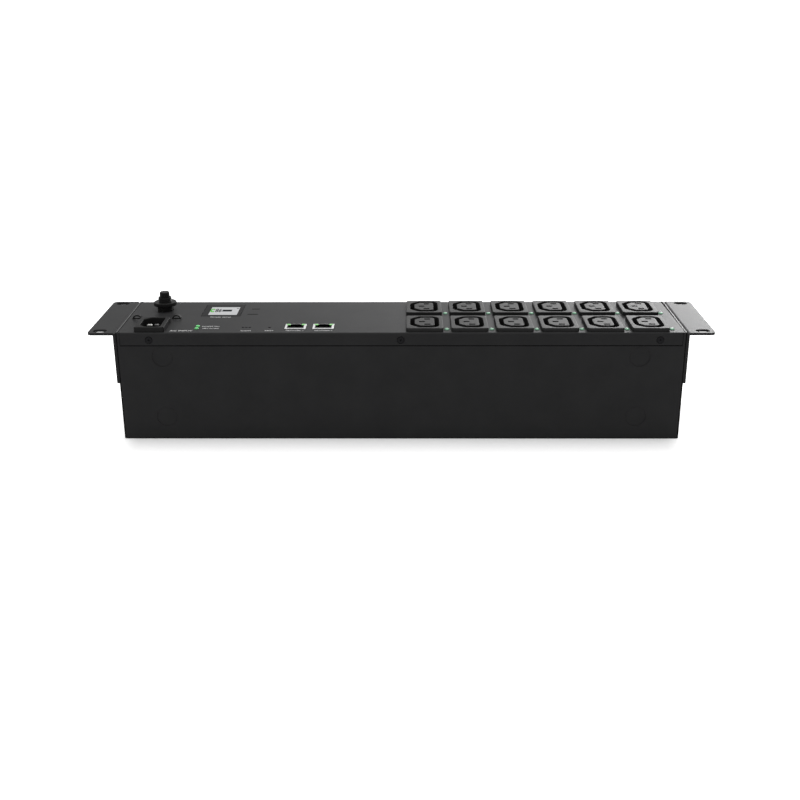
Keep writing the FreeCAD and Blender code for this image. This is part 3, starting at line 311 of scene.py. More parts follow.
def spread(tree, source, ends, low, high, smooth=False):
    """Maps the source between two ends to values from low to high."""
    made = tree.nodes.new("ShaderNodeMapRange")
    made.interpolation_type = "SMOOTHSTEP" if smooth else "LINEAR"
    made.inputs["From Min"].default_value = ends[0]
    made.inputs["From Max"].default_value = ends[1]
    made.inputs["To Min"].default_value = low
    made.inputs["To Max"].default_value = high
    tree.links.new(source, made.inputs["Value"])
    return made.outputs["Result"]


def roughness_between(tree, shader, source, low, high):
    """Makes the surface rougher, from low to high, as the noise rises."""
    share = spread(tree, source, (NOISE_LOW, NOISE_HIGH), low, high)
    tree.links.new(share, shader.inputs["Roughness"])


def raised_by(tree, shader, source, height):
    """Bumps the surface by up to a height in metres."""
    bump = tree.nodes.new("ShaderNodeBump")
    bump.inputs["Strength"].default_value = 1.0
    bump.inputs["Distance"].default_value = height
    tree.links.new(source, bump.inputs["Height"])
    tree.links.new(bump.outputs["Normal"], shader.inputs["Normal"])


def combine(tree, operation, *sources):
    """The result of one sum on node outputs."""
    made = tree.nodes.new("ShaderNodeMath")
    made.operation = operation
    for source, socket in zip(sources, made.inputs):
        tree.links.new(source, socket)
    return made.outputs["Value"]


def paint_shade_in_gaps(tree, shader, shine):
    """Paints shade: takes colour and shine off the surface where a narrow gap or hole shuts the light out.
    """
    openness = tree.nodes.new("ShaderNodeAmbientOcclusion")
    openness.samples = SHADE_SAMPLES
    openness.inputs["Distance"].default_value = SHADE_REACH
    colour = shader.inputs["Base Color"].links[0].from_socket
    shaded_colour = tree.nodes.new("ShaderNodeVectorMath")
    shaded_colour.operation = "SCALE"
    tree.links.new(colour, shaded_colour.inputs["Vector"])
    tree.links.new(shaded_colour.outputs["Vector"], shader.inputs["Base Color"])
    for full, socket in ((1.0, shaded_colour.inputs["Scale"]), (shine, shader.inputs["Specular IOR Level"])):
        tree.links.new(spread(tree, openness.outputs["AO"], SHADE_OPENNESS, 0.0, full), socket)


# Materials

def powder_coat():
    """Fine-textured satin black paint on sheet steel, with painted shade in its narrow gaps and holes."""
    made, tree, shader = new_material("powder_coat")
    cloud = noise(tree, 45.0)
    orange_peel = noise(tree, 1600.0, 2.0)
    colour_between(tree, shader, cloud, (0.0210, 0.0210, 0.0215), (0.0240, 0.0240, 0.0245))
    # painted shade: the paint darkens and loses its shine in gaps, holes and seams
    paint_shade_in_gaps(tree, shader, PAINT_SHINE)
    roughness_between(tree, shader, orange_peel, 0.32, 0.42)
    raised_by(tree, shader, orange_peel, 0.010 * MM)
    return made


def black_steel():
    """Blackened screw steel."""
    made, tree, shader = new_material("black_steel", specular=0.02)
    turning = noise(tree, 3000.0, 2.0)
    colour_between(tree, shader, turning, (0.011, 0.011, 0.012), (0.017, 0.017, 0.018))
    roughness_between(tree, shader, noise(tree, 400.0), 0.38, 0.55)
    raised_by(tree, shader, turning, 0.004 * MM)
    return made


def moulded_plastic(name, dark, light, low, high, specular, grain=0.006 * MM):
    """Injection-moulded plastic with a spark-eroded grain."""
    made, tree, shader = new_material(name, specular=specular)
    erosion = noise(tree, 2600.0, 2.0)
    colour_between(tree, shader, noise(tree, 120.0), dark, light)
    roughness_between(tree, shader, erosion, low, high)
    raised_by(tree, shader, erosion, grain)
    return made


def metal(name, dark, light, low, high, stretch=(1.0, 1.0, 1.0)):
    """Bare or plated metal with fine drawing marks along the axis that stretch leaves long."""
    made, tree, shader = new_material(name, metallic=1.0)
    marks = noise(tree, 900.0, 4.0, stretch)
    colour_between(tree, shader, marks, dark, light)
    roughness_between(tree, shader, marks, low, high)
    raised_by(tree, shader, marks, 0.003 * MM)
    return made


def black_glass():
    """Dark cover glass over the display."""
    made, tree, shader = new_material("black_glass", specular=0.012)
    smear = noise(tree, 90.0, 2.0)
    colour_between(tree, shader, smear, (0.0090, 0.0090, 0.0096), (0.0115, 0.0115, 0.0122))
    roughness_between(tree, shader, smear, 0.28, 0.36)
    return made


def lit_lens(name, dark, light, glow, strength):
    """A glossy green light guide, brighter in patches where its light gathers."""
    made, tree, shader = new_material(name, roughness=0.18, specular=0.5)
    gather = noise(tree, 700.0, 2.0)
    colour_between(tree, shader, gather, dark, light)
    colour_between(tree, shader, gather, dark, glow, socket="Emission Color")
    shader.inputs["Emission Strength"].default_value = strength
    raised_by(tree, shader, gather, 0.01 * MM)
    return made


def lit_screen():
    """Pale back-lit screen with a faint pixel grid."""
    made, tree, shader = new_material("lit_screen", roughness=0.3, specular=0.2)
    pixels = stripes(tree, 1600.0, "X")
    colour_between(tree, shader, pixels, (0.10, 0.10, 0.11), (0.13, 0.13, 0.135))
    wash = noise(tree, 40.0, 1.0)
    colour_between(tree, shader, wash, (0.43, 0.45, 0.44), (0.49, 0.49, 0.50), socket="Emission Color")
    shader.inputs["Emission Strength"].default_value = 0.62
    return made


def ink(name, dark, light, glow=0.0):
    """Screen-printed or displayed ink with slightly uneven cover."""
    made, tree, shader = new_material(name, roughness=0.6, specular=0.02)
    cover = noise(tree, 1500.0, 2.0)
    colour_between(tree, shader, cover, dark, light)
    if glow:
        colour_between(tree, shader, cover, dark, light, socket="Emission Color")
        shader.inputs["Emission Strength"].default_value = glow
    return made


def circuit_board():
    """Green solder mask over copper runs."""
    made, tree, shader = new_material("circuit_board", roughness=0.4)
    runs = tree.nodes.new("ShaderNodeTexBrick")
    runs.inputs["Scale"].default_value = 160.0
    runs.inputs["Mortar Size"].default_value = 0.03
    runs.inputs["Color1"].default_value = (0.010, 0.090, 0.035, 1.0)
    runs.inputs["Color2"].default_value = (0.012, 0.110, 0.042, 1.0)
    runs.inputs["Mortar"].default_value = (0.030, 0.190, 0.070, 1.0)
    tree.links.new(object_space(tree), runs.inputs["Vector"])
    tree.links.new(runs.outputs["Color"], shader.inputs["Base Color"])
    roughness_between(tree, shader, noise(tree, 300.0), 0.30, 0.45)
    raised_by(tree, shader, runs.outputs["Fac"], 0.01 * MM)
    return made


def ribbon():
    """Grey flat cable with a groove between its cores."""
    made, tree, shader = new_material("ribbon", roughness=0.5)
    cores = stripes(tree, 250.0, "Y")
    colour_between(tree, shader, cores, (0.20, 0.20, 0.21), (0.34, 0.34, 0.35))
    raised_by(tree, shader, cores, 0.1 * MM)
    return made


def wound_tape():
    """Yellow tape in overlapping turns round a transformer."""
    made, tree, shader = new_material("wound_tape", roughness=0.35)
    turns = stripes(tree, 90.0, "Z")
    colour_between(tree, shader, turns, (0.55, 0.38, 0.04), (0.68, 0.50, 0.07))
    raised_by(tree, shader, turns, 0.05 * MM)
    return made


def insulation(name, dark, light):
    """Extruded wire cover with faint draw lines."""
    made, tree, shader = new_material(name)
    draw = noise(tree, 500.0, 2.0)
    colour_between(tree, shader, draw, dark, light)
    roughness_between(tree, shader, draw, 0.35, 0.5)
    raised_by(tree, shader, draw, 0.01 * MM)
    return made


def earth_insulation():
    """Green and yellow striped wire cover."""
    made, tree, shader = new_material("earth_insulation", roughness=0.4)
    bands = stripes(tree, 60.0, "DIAGONAL")
    colour_between(tree, shader, bands, (0.03, 0.26, 0.04), (0.75, 0.60, 0.03), 0.45, 0.55)
    raised_by(tree, shader, noise(tree, 500.0), 0.01 * MM)
    return made


FINISHES = {
    "case_paint": powder_coat(),
    "screw_black": black_steel(),
    "outlet_plastic": moulded_plastic("outlet_nylon", (0.019,) * 3, (0.022,) * 3, 0.36, 0.46, 0.036),
    "inlet_plastic": moulded_plastic("inlet_nylon", (0.012,) * 3, (0.015,) * 3, 0.42, 0.54, 0.035),
    "breaker_plastic": moulded_plastic("breaker_nylon", (0.009,) * 3, (0.013,) * 3, 0.34, 0.46, 0.07),
    "breaker_nuts": moulded_plastic("breaker_nut_nylon", (0.008,) * 3, (0.012,) * 3, 0.36, 0.50, 0.06),
    "contact_brass": metal("brass", (0.62, 0.42, 0.16), (0.74, 0.54, 0.24), 0.22, 0.38, (1, 1, 0.05)),
    "pin_nickel": metal("nickel", (0.27, 0.27, 0.26), (0.36, 0.36, 0.35), 0.22, 0.36, (1, 1, 0.05)),
    "cover_glass": black_glass(),
    "display_plastic": moulded_plastic("display_frame", (0.02,) * 3, (0.03,) * 3, 0.40, 0.55, 0.4),
    "jack_tin": metal("tinned_steel", (0.44, 0.44, 0.44), (0.54, 0.54, 0.54), 0.26, 0.40, (1, 1, 0.08)),
    "jack_plastic": moulded_plastic("jack_nylon", (0.008,) * 3, (0.012,) * 3, 0.40, 0.55, 0.3),
    "jack_gold": metal("gold_plate", (0.80, 0.58, 0.22), (0.90, 0.68, 0.30), 0.14, 0.26, (1, 1, 0.1)),
    "light_green": lit_lens("green_lens", (0.04, 0.28, 0.07), (0.09, 0.42, 0.12), (0.12, 0.55, 0.16), 0.40),
    "board_green": circuit_board(),
    "switch_plastic": moulded_plastic("switch_nylon", (0.012,) * 3, (0.018,) * 3, 0.40, 0.55, 0.4),
    "flat_cable": ribbon(),
    "relay_plastic": moulded_plastic("relay_case", (0.02, 0.09, 0.28), (0.03, 0.12, 0.34), 0.30, 0.42, 0.5),
    "support_zinc": metal("zinc", (0.55, 0.56, 0.58), (0.68, 0.69, 0.70), 0.28, 0.45),
    "capacitor_sleeve": insulation("capacitor_sleeve", (0.012, 0.014, 0.03), (0.02, 0.024, 0.05)),
    "transformer_tape": wound_tape(),
    "lead_brown": insulation("brown_insulation", (0.10, 0.035, 0.012), (0.15, 0.055, 0.02)),
    "lead_blue": insulation("blue_insulation", (0.015, 0.09, 0.36), (0.025, 0.13, 0.46)),
    "lead_earth": earth_insulation(),
    "cable_grey": insulation("grey_insulation", (0.26, 0.26, 0.27), (0.36, 0.36, 0.37)),
}
MINT_GREEN = lit_lens("mint_lens", (0.08, 0.19, 0.12), (0.14, 0.28, 0.18), (0.14, 0.32, 0.20), 0.30)
LEAF_GREEN = lit_lens("leaf_lens", (0.05, 0.27, 0.03), (0.09, 0.40, 0.05), (0.12, 0.50, 0.07), 0.38)
# painted highlight: a pale finish that lights the top edges of the housing's end walls
EDGE_HIGHLIGHT = moulded_plastic("edge_highlight", (0.060,) * 3, (0.080,) * 3, 0.36, 0.48, 0.060)
# painted shade: a darker copy of the nickel for the inlet's two pole pins, which lie in shade
SHADED_NICKEL = metal("shaded_nickel", (0.08, 0.08, 0.08), (0.12, 0.12, 0.12), 0.34, 0.48, (1, 1, 0.05))
SCREEN = lit_screen()
WHITE_INK = ink("white_ink", (0.42, 0.42, 0.42), (0.52, 0.52, 0.52))
# painted shade, for the dark bars on the panel
SHADE_INK = ink("painted_shade_ink", (0.006, 0.006, 0.006), (0.010, 0.010, 0.010))
SCREEN_DARK = ink("screen_dark", (0.006, 0.008, 0.008), (0.014, 0.016, 0.018))
SCREEN_GREEN = ink("screen_green", (0.05, 0.26, 0.04), (0.10, 0.36, 0.05), 0.25)
NODE_FINISHES = {
    # the inlet's pole pins take the nickel of painted shade
    "inlet_line_pin": SHADED_NICKEL,
    "inlet_neutral_pin": SHADED_NICKEL,
    "jack_lights": LEAF_GREEN,
}


# Mesh helpers

def rectangle(size_x, size_y, radius):
    """Corners of an outline, each with the radius that rounds it."""
    hx = size_x / 2
    hy = size_y / 2
    return [(Vector(p), radius) for p in ((-hx, -hy), (hx, -hy), (hx, hy), (-hx, hy))]


def keyed(size_x, size_y, key, radius, key_radius):
    """A rectangle with its two corners on the left cut off, the shape of a mains connector."""
    hx = size_x / 2
    hy = size_y / 2
    right = [(Vector(p), radius) for p in ((hx, -hy), (hx, hy))]
    left = [(-hx + key, hy), (-hx, hy - key), (-hx, -hy + key), (-hx + key, -hy)]
    return right + [(Vector(p), key_radius) for p in left]


def ring(bm, outline, grow, place, z, steps=CORNER_STEPS):
    """A loop of vertices round a convex outline that is moved outwards by grow."""
    loop = []
    count = len(outline)
    for i, (corner, radius) in enumerate(outline):
        back = (outline[i - 1][0] - corner).normalized()
        ahead = (outline[(i + 1) % count][0] - corner).normalized()
        half = back.angle(ahead) / 2
        reach = max(radius + grow, SHARPEST)
        middle = corner + (back + ahead).normalized() * ((reach - grow) / math.sin(half))
        first = math.atan2(back.x, -back.y)
        for step in range(steps + 1):
            turn = first + (math.pi - 2 * half) * step / steps
            x = middle.x + reach * math.cos(turn)
            y = middle.y + reach * math.sin(turn)
            loop.append(bm.verts.new(place @ Vector((x, y, z))))
    return loop


def circle(bm, radius, place, z, sides=LATHE_SIDES, knurl=0.0):
    """A loop of vertices round the axis; knurl pulls every second one inwards."""
    loop = []
    for i in range(sides):
        turn = 2 * math.pi * i / sides
        reach = radius - knurl * (i % 2)
        loop.append(bm.verts.new(place @ Vector((reach * math.cos(turn), reach * math.sin(turn), z))))
    return loop


def skin(bm, loops):
    """Quads between loops of the same count, in order."""
    for low, high in zip(loops, loops[1:]):
        for i in range(len(low)):
            bm.faces.new((low[i - 1], low[i], high[i], high[i - 1]))


def fill(bm, *loops):
    """A flat face inside the first loop and outside the others."""
    edges = []
    for loop in loops:
        for i in range(len(loop)):
            pair = (loop[i - 1], loop[i])
            edges.append(bm.edges.get(pair) or bm.edges.new(pair))
    bmesh.ops.triangle_fill(bm, use_beauty=True, use_dissolve=False, edges=edges)


def fillet(radius, steps=FILLET_STEPS):
    """(inset, drop) pairs of a quarter round, from the upright side to the flat top."""
    turns = [math.pi / 2 * i / steps for i in range(steps + 1)]
    return [(radius * (1 - math.cos(turn)), radius * (1 - math.sin(turn))) for turn in turns]


def lathe(bm, profile, place, sides=LATHE_SIDES):
    """Turns (radius, height) points about the axis and closes both ends."""
    loops = [circle(bm, radius, place, z, sides) for radius, z in profile]
    skin(bm, loops)
    fill(bm, loops[0])
    fill(bm, loops[-1])


def slab(bm, outline, place, low, high):
    """A closed plate of an outline between two heights."""
    loops = [ring(bm, outline, 0.0, place, z, MARK_STEPS) for z in (low, high)]
    skin(bm, loops)
    fill(bm, loops[0])
    fill(bm, loops[1])


def at(x, y, z=0.0):
    """The move to a place."""
    return Matrix.Translation((x, y, z))


def panel_face():
    """Height of the front panel's face."""
    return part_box("outlet_01")[1].z - PLATE_RISE


def add_object(name, mesh, finish, body):
    """Puts a mesh into the scene, in its finish and on its body."""
    mesh.materials.append(finish)
    made = bpy.data.objects.new(name, mesh)
    scene.collection.objects.link(made)
    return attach(made, body)


def piece(name, bm, finish, body="unit"):
    """Makes a piece of the faces built so far, smooth but for its sharp edges."""
    bmesh.ops.recalc_face_normals(bm, faces=bm.faces)
    mesh = bpy.data.meshes.new(name)
    bm.to_mesh(mesh)
    bm.free()
    mesh.shade_smooth()
    mesh.set_sharp_from_angle(angle=SHARP_ANGLE)
    made = add_object(name, mesh, finish, body)
    shade = made.modifiers.new("shade", "WEIGHTED_NORMAL")
    shade.keep_sharp = True
    return made


# CAD nodes that stay

def dress_nodes():
    """Gives each CAD node its own finish, or else the finish of its slot in the record."""
    for name, node in frame["nodes"].items():
        slot = node.data.materials[0].name
        node.data.materials[0] = NODE_FINISHES.get(name, FINISHES[slot])


def soften_edges():
    """Breaks the sharp edges of the CAD nodes that show."""
    for name, width in EDGES.items():
        node = frame["nodes"][name]
        node.data.shade_smooth()
        weld = node.modifiers.new("weld", "WELD")
        weld.merge_threshold = WELD_REACH
        flat = node.modifiers.new("flat", "DECIMATE")
        flat.decimate_type = "DISSOLVE"
        flat.angle_limit = FLAT_ANGLE
        bevel = node.modifiers.new("edge", "BEVEL")
        bevel.width = width
        bevel.segments = BEVEL_STEPS
        bevel.limit_method = "ANGLE"
        bevel.angle_limit = BEVEL_ANGLE
        bevel.use_clamp_overlap = False
        shade = node.modifiers.new("shade", "WEIGHTED_NORMAL")
        shade.keep_sharp = False


# Mains outlets and inlet

def outlet(number):
    """A moulded outlet: plate, keyed groove round the core, and three slots down to the contacts."""
    node = "outlet_%02d" % number
    low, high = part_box(node)
    centre = (low + high) / 2
    place = at(centre.x, centre.y)
    top = high.z
    face = top - PLATE_RISE
    bottom = face - OUTLET_DEPTH
    core_top = top + CORE_RISE
    groove_floor = top - GROOVE_DEPTH
    plate = rectangle(high.x - low.x, high.y - low.y, PLATE_ROUND)
    neck_wall = 2 * (GROOVE + OUTLET_WALL)
    neck = rectangle(CORE_X + neck_wall, CORE_Y + neck_wall, NECK_ROUND)
    path = keyed(CORE_X, CORE_Y, CORE_KEY, CORE_ROUND, CORE_KEY_ROUND)
    core = keyed(CORE_X, CORE_Y - 2 * CORE_SHORT, CORE_KEY, CORE_ROUND, CORE_KEY_ROUND)
    bm = bmesh.new()
    outside = [ring(bm, neck, 0.0, place, z) for z in (bottom, face)]
    outside.append(ring(bm, plate, 0.0, place, face))
    outside += [ring(bm, plate, -inset, place, top - drop) for inset, drop in fillet(PLATE_FILLET)]
    skin(bm, outside)
    rim = reversed(fillet(GROOVE_EDGE))
    groove = [ring(bm, path, GROOVE + inset, place, top - drop) for inset, drop in rim]
    groove.append(ring(bm, path, GROOVE, place, groove_floor))
    groove.append(ring(bm, core, 0.0, place, groove_floor))
    groove += [ring(bm, core, -inset, place, core_top - drop) for inset, drop in fillet(GROOVE_EDGE)]
    skin(bm, groove)
    fill(bm, outside[-1], groove[0])
    slots = [pole_slot(bm, at(centre.x + dx, centre.y + dy), core_top, top, bottom) for dx, dy in POLES]
    fill(bm, groove[-1], *[slot[0] for slot in slots])
    fill(bm, outside[0], *[slot[-1] for slot in slots])
    made = piece("outlet_body_%02d" % number, bm, FINISHES["outlet_plastic"])
    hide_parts(node)


def pole_slot(bm, place, core_top, top, bottom):
    """One blade slot with a lead-in, which opens into the cavity of its contact."""
    slot = rectangle(SLOT_X, SLOT_Y, SLOT_ROUND)
    cavity = rectangle(CAVITY_X, CAVITY_Y, SLOT_ROUND)
    roof = top - SLOT_DEPTH
    loops = [
        ring(bm, slot, SLOT_LEAD_IN, place, core_top, SLOT_STEPS),
        ring(bm, slot, 0.0, place, core_top - SLOT_LEAD_IN, SLOT_STEPS),
        ring(bm, slot, 0.0, place, roof, SLOT_STEPS),
        ring(bm, cavity, 0.0, place, roof, SLOT_STEPS),
        ring(bm, cavity, 0.0, place, bottom, SLOT_STEPS),
    ]
    skin(bm, loops)
    return loops


def inlet():
    """The moulded inlet: a flange, and a keyed cavity whose floor carries the three pins."""
    low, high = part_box("inlet_body")
    centre = (low + high) / 2
    place = at(centre.x, centre.y)
    top = high.z
    face = top - INLET_RISE
    floor = top - INLET_CAVITY_DEPTH
    flange = rectangle(high.x - low.x, high.y - low.y, INLET_ROUND)
    neck = rectangle(INLET_CAVITY_X + 2 * INLET_WALL, INLET_CAVITY_Y + 2 * INLET_WALL, NECK_ROUND)
    cavity = keyed(INLET_CAVITY_X, INLET_CAVITY_Y, INLET_KEY, INLET_CAVITY_ROUND, INLET_CAVITY_ROUND)
    bm = bmesh.new()
    outside = [ring(bm, neck, 0.0, place, z) for z in (low.z, face)]
    outside.append(ring(bm, flange, 0.0, place, face))
    outside += [ring(bm, flange, -inset, place, top - drop) for inset, drop in fillet(INLET_FILLET)]
    inside = [ring(bm, cavity, INLET_LIP, place, top), ring(bm, cavity, 0.0, place, top - INLET_LIP)]
    inside.append(ring(bm, cavity, 0.0, place, floor))
    skin(bm, outside)
    skin(bm, inside)
    fill(bm, outside[-1], inside[0])
    holes = [pin_hole(bm, node, floor, low.z) for node in INLET_PINS]
    fill(bm, inside[-1], *[hole[0] for hole in holes])
    fill(bm, outside[0], *[hole[1] for hole in holes])
    made = piece("inlet_socket", bm, FINISHES["inlet_plastic"])
    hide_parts("inlet_body")


def pin_hole(bm, node, high_z, low_z):
    """The hole through the inlet's floor that a pin fills."""
    low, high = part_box(node)
    middle = (low + high) / 2
    hole = rectangle(high.x - low.x, high.y - low.y, 0.0)
    loops = [ring(bm, hole, 0.0, at(middle.x, middle.y), z, PIN_HOLE_STEPS) for z in (high_z, low_z)]
    skin(bm, loops)
    return loops


# Lights

def islands(node):
    """Boxes (low, high) of the separate solids in a node, left to right."""
    bm = bmesh.new()
    bm.from_mesh(frame["nodes"][node].data)
    bmesh.ops.remove_doubles(bm, verts=bm.verts, dist=WELD_REACH)
    waiting = set(bm.verts)
    found = []
    while waiting:
        group = [waiting.pop()]
        for vert in group:
            for edge in vert.link_edges:
                other = edge.other_vert(vert)
                if other in waiting:
                    waiting.discard(other)
                    group.append(other)
        spots = [vert.co.copy() for vert in group]
        low = Vector([min(spot[k] for spot in spots) for k in range(3)])
        high = Vector([max(spot[k] for spot in spots) for k in range(3)])
        found.append((low, high))
    bm.free()
    return sorted(found, key=lambda pair: (round(pair[0].x, 5), round(pair[0].y, 5), round(pair[0].z, 5)))


def dome(radius, low, rise):
    """(radius, height) points over a dome, without its very top."""
    turns = [math.pi / 2 * step / (LENS_STEPS + 1) for step in range(LENS_STEPS + 1)]
    return [(radius * math.cos(turn), low + rise * math.sin(turn)) for turn in turns]


def outlet_lights():
    """Light guides through the panel, each with a domed cap that rests on it."""
    face = panel_face()
    bm = bmesh.new()
    for low, high in islands("outlet_lights"):
        profile = [(LENS_RADIUS, low.z), (LENS_RADIUS, face)] + dome(CAP_RADIUS, face, CAP_RISE)
        lathe(bm, profile, at((low.x + high.x) / 2, (low.y + high.y) / 2), LENS_SIDES)
    made = piece("outlet_light_guides", bm, MINT_GREEN)
    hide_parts("outlet_lights")


def status_lenses():
    """Domes on the two ends of the status light guide."""
    low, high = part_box("status_light_pipe")
    bm = bmesh.new()
    for y in (low.y + LENS_RADIUS, high.y - LENS_RADIUS):
        lathe(bm, dome(LENS_RADIUS, high.z, LENS_DOME), at((low.x + high.x) / 2, y), LENS_SIDES)
    piece("status_lens_pair", bm, FINISHES["light_green"])


# Case edges and network jacks

def edge_strips():
    """Pale strips of painted highlight along the top edges of the housing's end walls, beside the ends of
    the panel.
    """
    low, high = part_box("rear_housing")
    bm = bmesh.new()
    for side, end in ((1, low.x), (-1, high.x)):
        x = end + side * (EDGE_STRIP_INSET + EDGE_STRIP_WIDTH / 2)
        strip = rectangle(EDGE_STRIP_WIDTH, high.y - low.y - 2 * EDGE_STRIP_END, MARK_ROUND)
        slab(bm, strip, at(x, (low.y + high.y) / 2), high.z, high.z + INK)
    piece("housing_edge_highlights", bm, EDGE_HIGHLIGHT)


def jack_collar(number):
    """The dark plastic lip round a jack's mouth, made of thin bars."""
    low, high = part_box("jack_shield_%d" % number)
    middle = (low + high) / 2
    bm = bmesh.new()
    for left, right, near, far in COLLAR_BARS:
        bar = rectangle((right - left) * MM, (far - near) * MM, 0.0)
        place = at(middle.x + (left + right) / 2 * MM, middle.y + (near + far) / 2 * MM)
        slab(bm, bar, place, high.z, high.z + COLLAR)
    piece("jack_collar_%d" % number, bm, FINISHES["jack_plastic"])


# Circuit breaker

def breaker_place():
    """The move to the breaker's axis."""
    low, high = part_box("breaker_button")
    middle = (low + high) / 2
    return at(middle.x, middle.y)


def breaker_button():
    """The button with a rounded top."""
    low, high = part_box("breaker_button")
    radius = (high.y - low.y) / 2
    bm = bmesh.new()
    profile = [(radius, low.z)]
    profile += [(radius - inset, high.z - drop) for inset, drop in fillet(BUTTON_ROUND, BUTTON_STEPS)]
    lathe(bm, profile, breaker_place())
    made = piece("breaker_button_cap", bm, FINISHES["breaker_plastic"], "breaker_button")
    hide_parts("breaker_button")


def ring_nut():
    """The round nut with a finely knurled rim."""
    low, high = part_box("breaker_ring_nut")
    radius = (high.x - low.x) / 2
    bore = NECK_RADIUS + RING_GAP
    place = breaker_place()
    bm = bmesh.new()
    turned = [circle(bm, bore, place, z, RING_SIDES) for z in (high.z, low.z)]
    under = [circle(bm, radius - inset, place, low.z + drop, RING_SIDES, RING_KNURL)
             for inset, drop in reversed(fillet(RING_FILLET))]
    over = [circle(bm, radius - inset, place, high.z - drop, RING_SIDES, RING_KNURL)
            for inset, drop in fillet(RING_FILLET)]
    loops = turned + under + over
    skin(bm, loops + [turned[0]])
    made = piece("breaker_ring", bm, FINISHES["breaker_nuts"])
    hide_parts("breaker_ring_nut")


def neck_thread():
    """The screw thread that shows on the breaker's neck above its nuts."""
    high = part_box("breaker_body")[1].z
    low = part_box("breaker_ring_nut")[1].z
    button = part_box("breaker_button")
    inner = (button[1].y - button[0].y) / 2 + BUTTON_GAP
    turns = int((high - low) / THREAD_PITCH)
    place = breaker_place()
    bm = bmesh.new()
    loops = []
    for i in range(turns):
        base = low + i * THREAD_PITCH
        loops.append(circle(bm, NECK_RADIUS, place, base))
        loops.append(circle(bm, NECK_RADIUS + THREAD_DEPTH, place, base + THREAD_PITCH / 2))
    loops.append(circle(bm, NECK_RADIUS, place, high))
    loops.append(circle(bm, inner, place, high + INK))
    loops.append(circle(bm, inner, place, low))
    skin(bm, loops + [loops[0]])
    made = piece("breaker_neck_thread", bm, FINISHES["breaker_plastic"])


# Screws

def cross_points(reach, arm):
    """Corners of a cross, a quarter turn after the other."""
    quarter = [(arm, arm), (arm, reach), (-arm, reach)]
    points = []
    for turn in range(4):
        for x, y in quarter:
            for step in range(turn):
                x, y = -y, x
            points.append((x, y))
    return points


def cross_loop(bm, reach, arm, place, z):
    """A loop of vertices round a cross."""
    return [bm.verts.new(place @ Vector((x, y, z))) for x, y in cross_points(reach, arm)]


def screw(bm, size, place):
    """A countersunk screw with a cross recess, its head flush with the plane z = 0 of its place."""
    head = size["head"] / 2
    shank = size["shank"] / 2
    cone_end = -HEAD_EDGE - (head - shank)
    rim = [circle(bm, head - inset, place, -drop) for inset, drop in fillet(HEAD_EDGE)]
    stem = [circle(bm, shank, place, z) for z in (-size["length"], cone_end)]
    skin(bm, stem + rim)
    fill(bm, stem[0])
    reach = head * size["recess"]
    arm = reach * RECESS_ARM
    mouth = cross_loop(bm, reach, arm, place, 0.0)
    floor = cross_loop(bm, reach * RECESS_TAPER, arm * RECESS_TAPER, place, -RECESS_DEPTH)
    fill(bm, rim[-1], mouth)
    skin(bm, [mouth, floor])
    fill(bm, floor)


def screws(node, name, size, axis):
    """Fine screws where the node has its plain ones; axis 0 or 1 is the one they run along."""
    bm = bmesh.new()
    for low, high in islands(node):
        middle = (low + high) / 2
        side = 1 if middle[axis] > 0 else -1
        outward = Vector((0.0, 0.0, 0.0))
        outward[axis] = side
        spot = middle.copy()
        spot[axis] = high[axis] if side > 0 else low[axis]
        place = Matrix.Translation(spot) @ outward.to_track_quat("Z", "Y").to_matrix().to_4x4()
        screw(bm, size, place)
    made = piece(name, bm, FINISHES["screw_black"])
    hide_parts(node)


# Display, printed marks, and bars of painted shade

def words(name, text, centre, width, z, finish, stretch=1.0):
    """Text in the built-in font as a thin raised print, scaled to a width and stretched upwards."""
    curve = bpy.data.curves.new(name, "FONT")
    curve.body = text
    curve.align_x = "CENTER"
    curve.align_y = "CENTER"
    curve.extrude = INK / 2
    curve.offset = LETTER_SPREAD
    curve.resolution_u = LETTER_STEPS
    holder = bpy.data.objects.new(name, curve)
    scene.collection.objects.link(holder)
    bpy.context.view_layer.update()
    mesh = bpy.data.meshes.new_from_object(holder)
    bpy.data.objects.remove(holder)
    reach = [vert.co.x for vert in mesh.vertices]
    share = width / (max(reach) - min(reach))
    mesh.transform(at(centre.x, centre.y, z) @ Matrix.Diagonal((share, share * stretch, 1.0, 1.0)))
    add_object(name, mesh, finish, "unit")


def labels_and_shade_bars():
    """Words, and two faint bars of painted shade on the front panel."""
    face = panel_face()
    for name, text, x, y, width in LABELS:
        words(name, text, Vector((x * MM, y * MM)), width * MM, face + INK_LIFT, WHITE_INK)
    bm = bmesh.new()
    for x, y, size_x, size_y in SHADE_BARS:
        bar = rectangle(size_x * MM, size_y * MM, MARK_ROUND)
        slab(bm, bar, at(x * MM, y * MM), face, face + INK)
    piece("panel_shade_bars", bm, SHADE_INK)


def screen_mark(name, finish, z, x, y, size_x, size_y):
    """A thin plate on the display, placed from the screen's centre."""
    place = at(SCREEN_CENTRE.x + x, SCREEN_CENTRE.y + y)
    bm = bmesh.new()
    slab(bm, rectangle(size_x, size_y, MARK_ROUND), place, z, z + INK)
    piece(name, bm, finish)


def gauge(z):
    """An open ring that shows the load."""
    bm = bmesh.new()
    centre = SCREEN_CENTRE + Vector(GAUGE_PLACE)
    top = z + INK
    loops = []
    for radii, height in ((GAUGE_INNER, z), (GAUGE_OUTER, z), (GAUGE_OUTER, top), (GAUGE_INNER, top)):
        loop = []
        for step in range(GAUGE_STEPS + 1):
            turn = GAUGE_SPAN * (0.5 - step / GAUGE_STEPS) + math.pi
            x = centre.x + radii[0] * math.cos(turn)
            y = centre.y + radii[1] * math.sin(turn)
            loop.append(bm.verts.new((x, y, height)))
        loops.append(loop)
    for one, other in zip(loops, loops[1:] + loops[:1]):
        for i in range(GAUGE_STEPS):
            bm.faces.new((one[i], one[i + 1], other[i + 1], other[i]))
    for end in (0, GAUGE_STEPS):
        bm.faces.new([loop[end] for loop in loops])
    piece("screen_gauge", bm, SCREEN_GREEN)


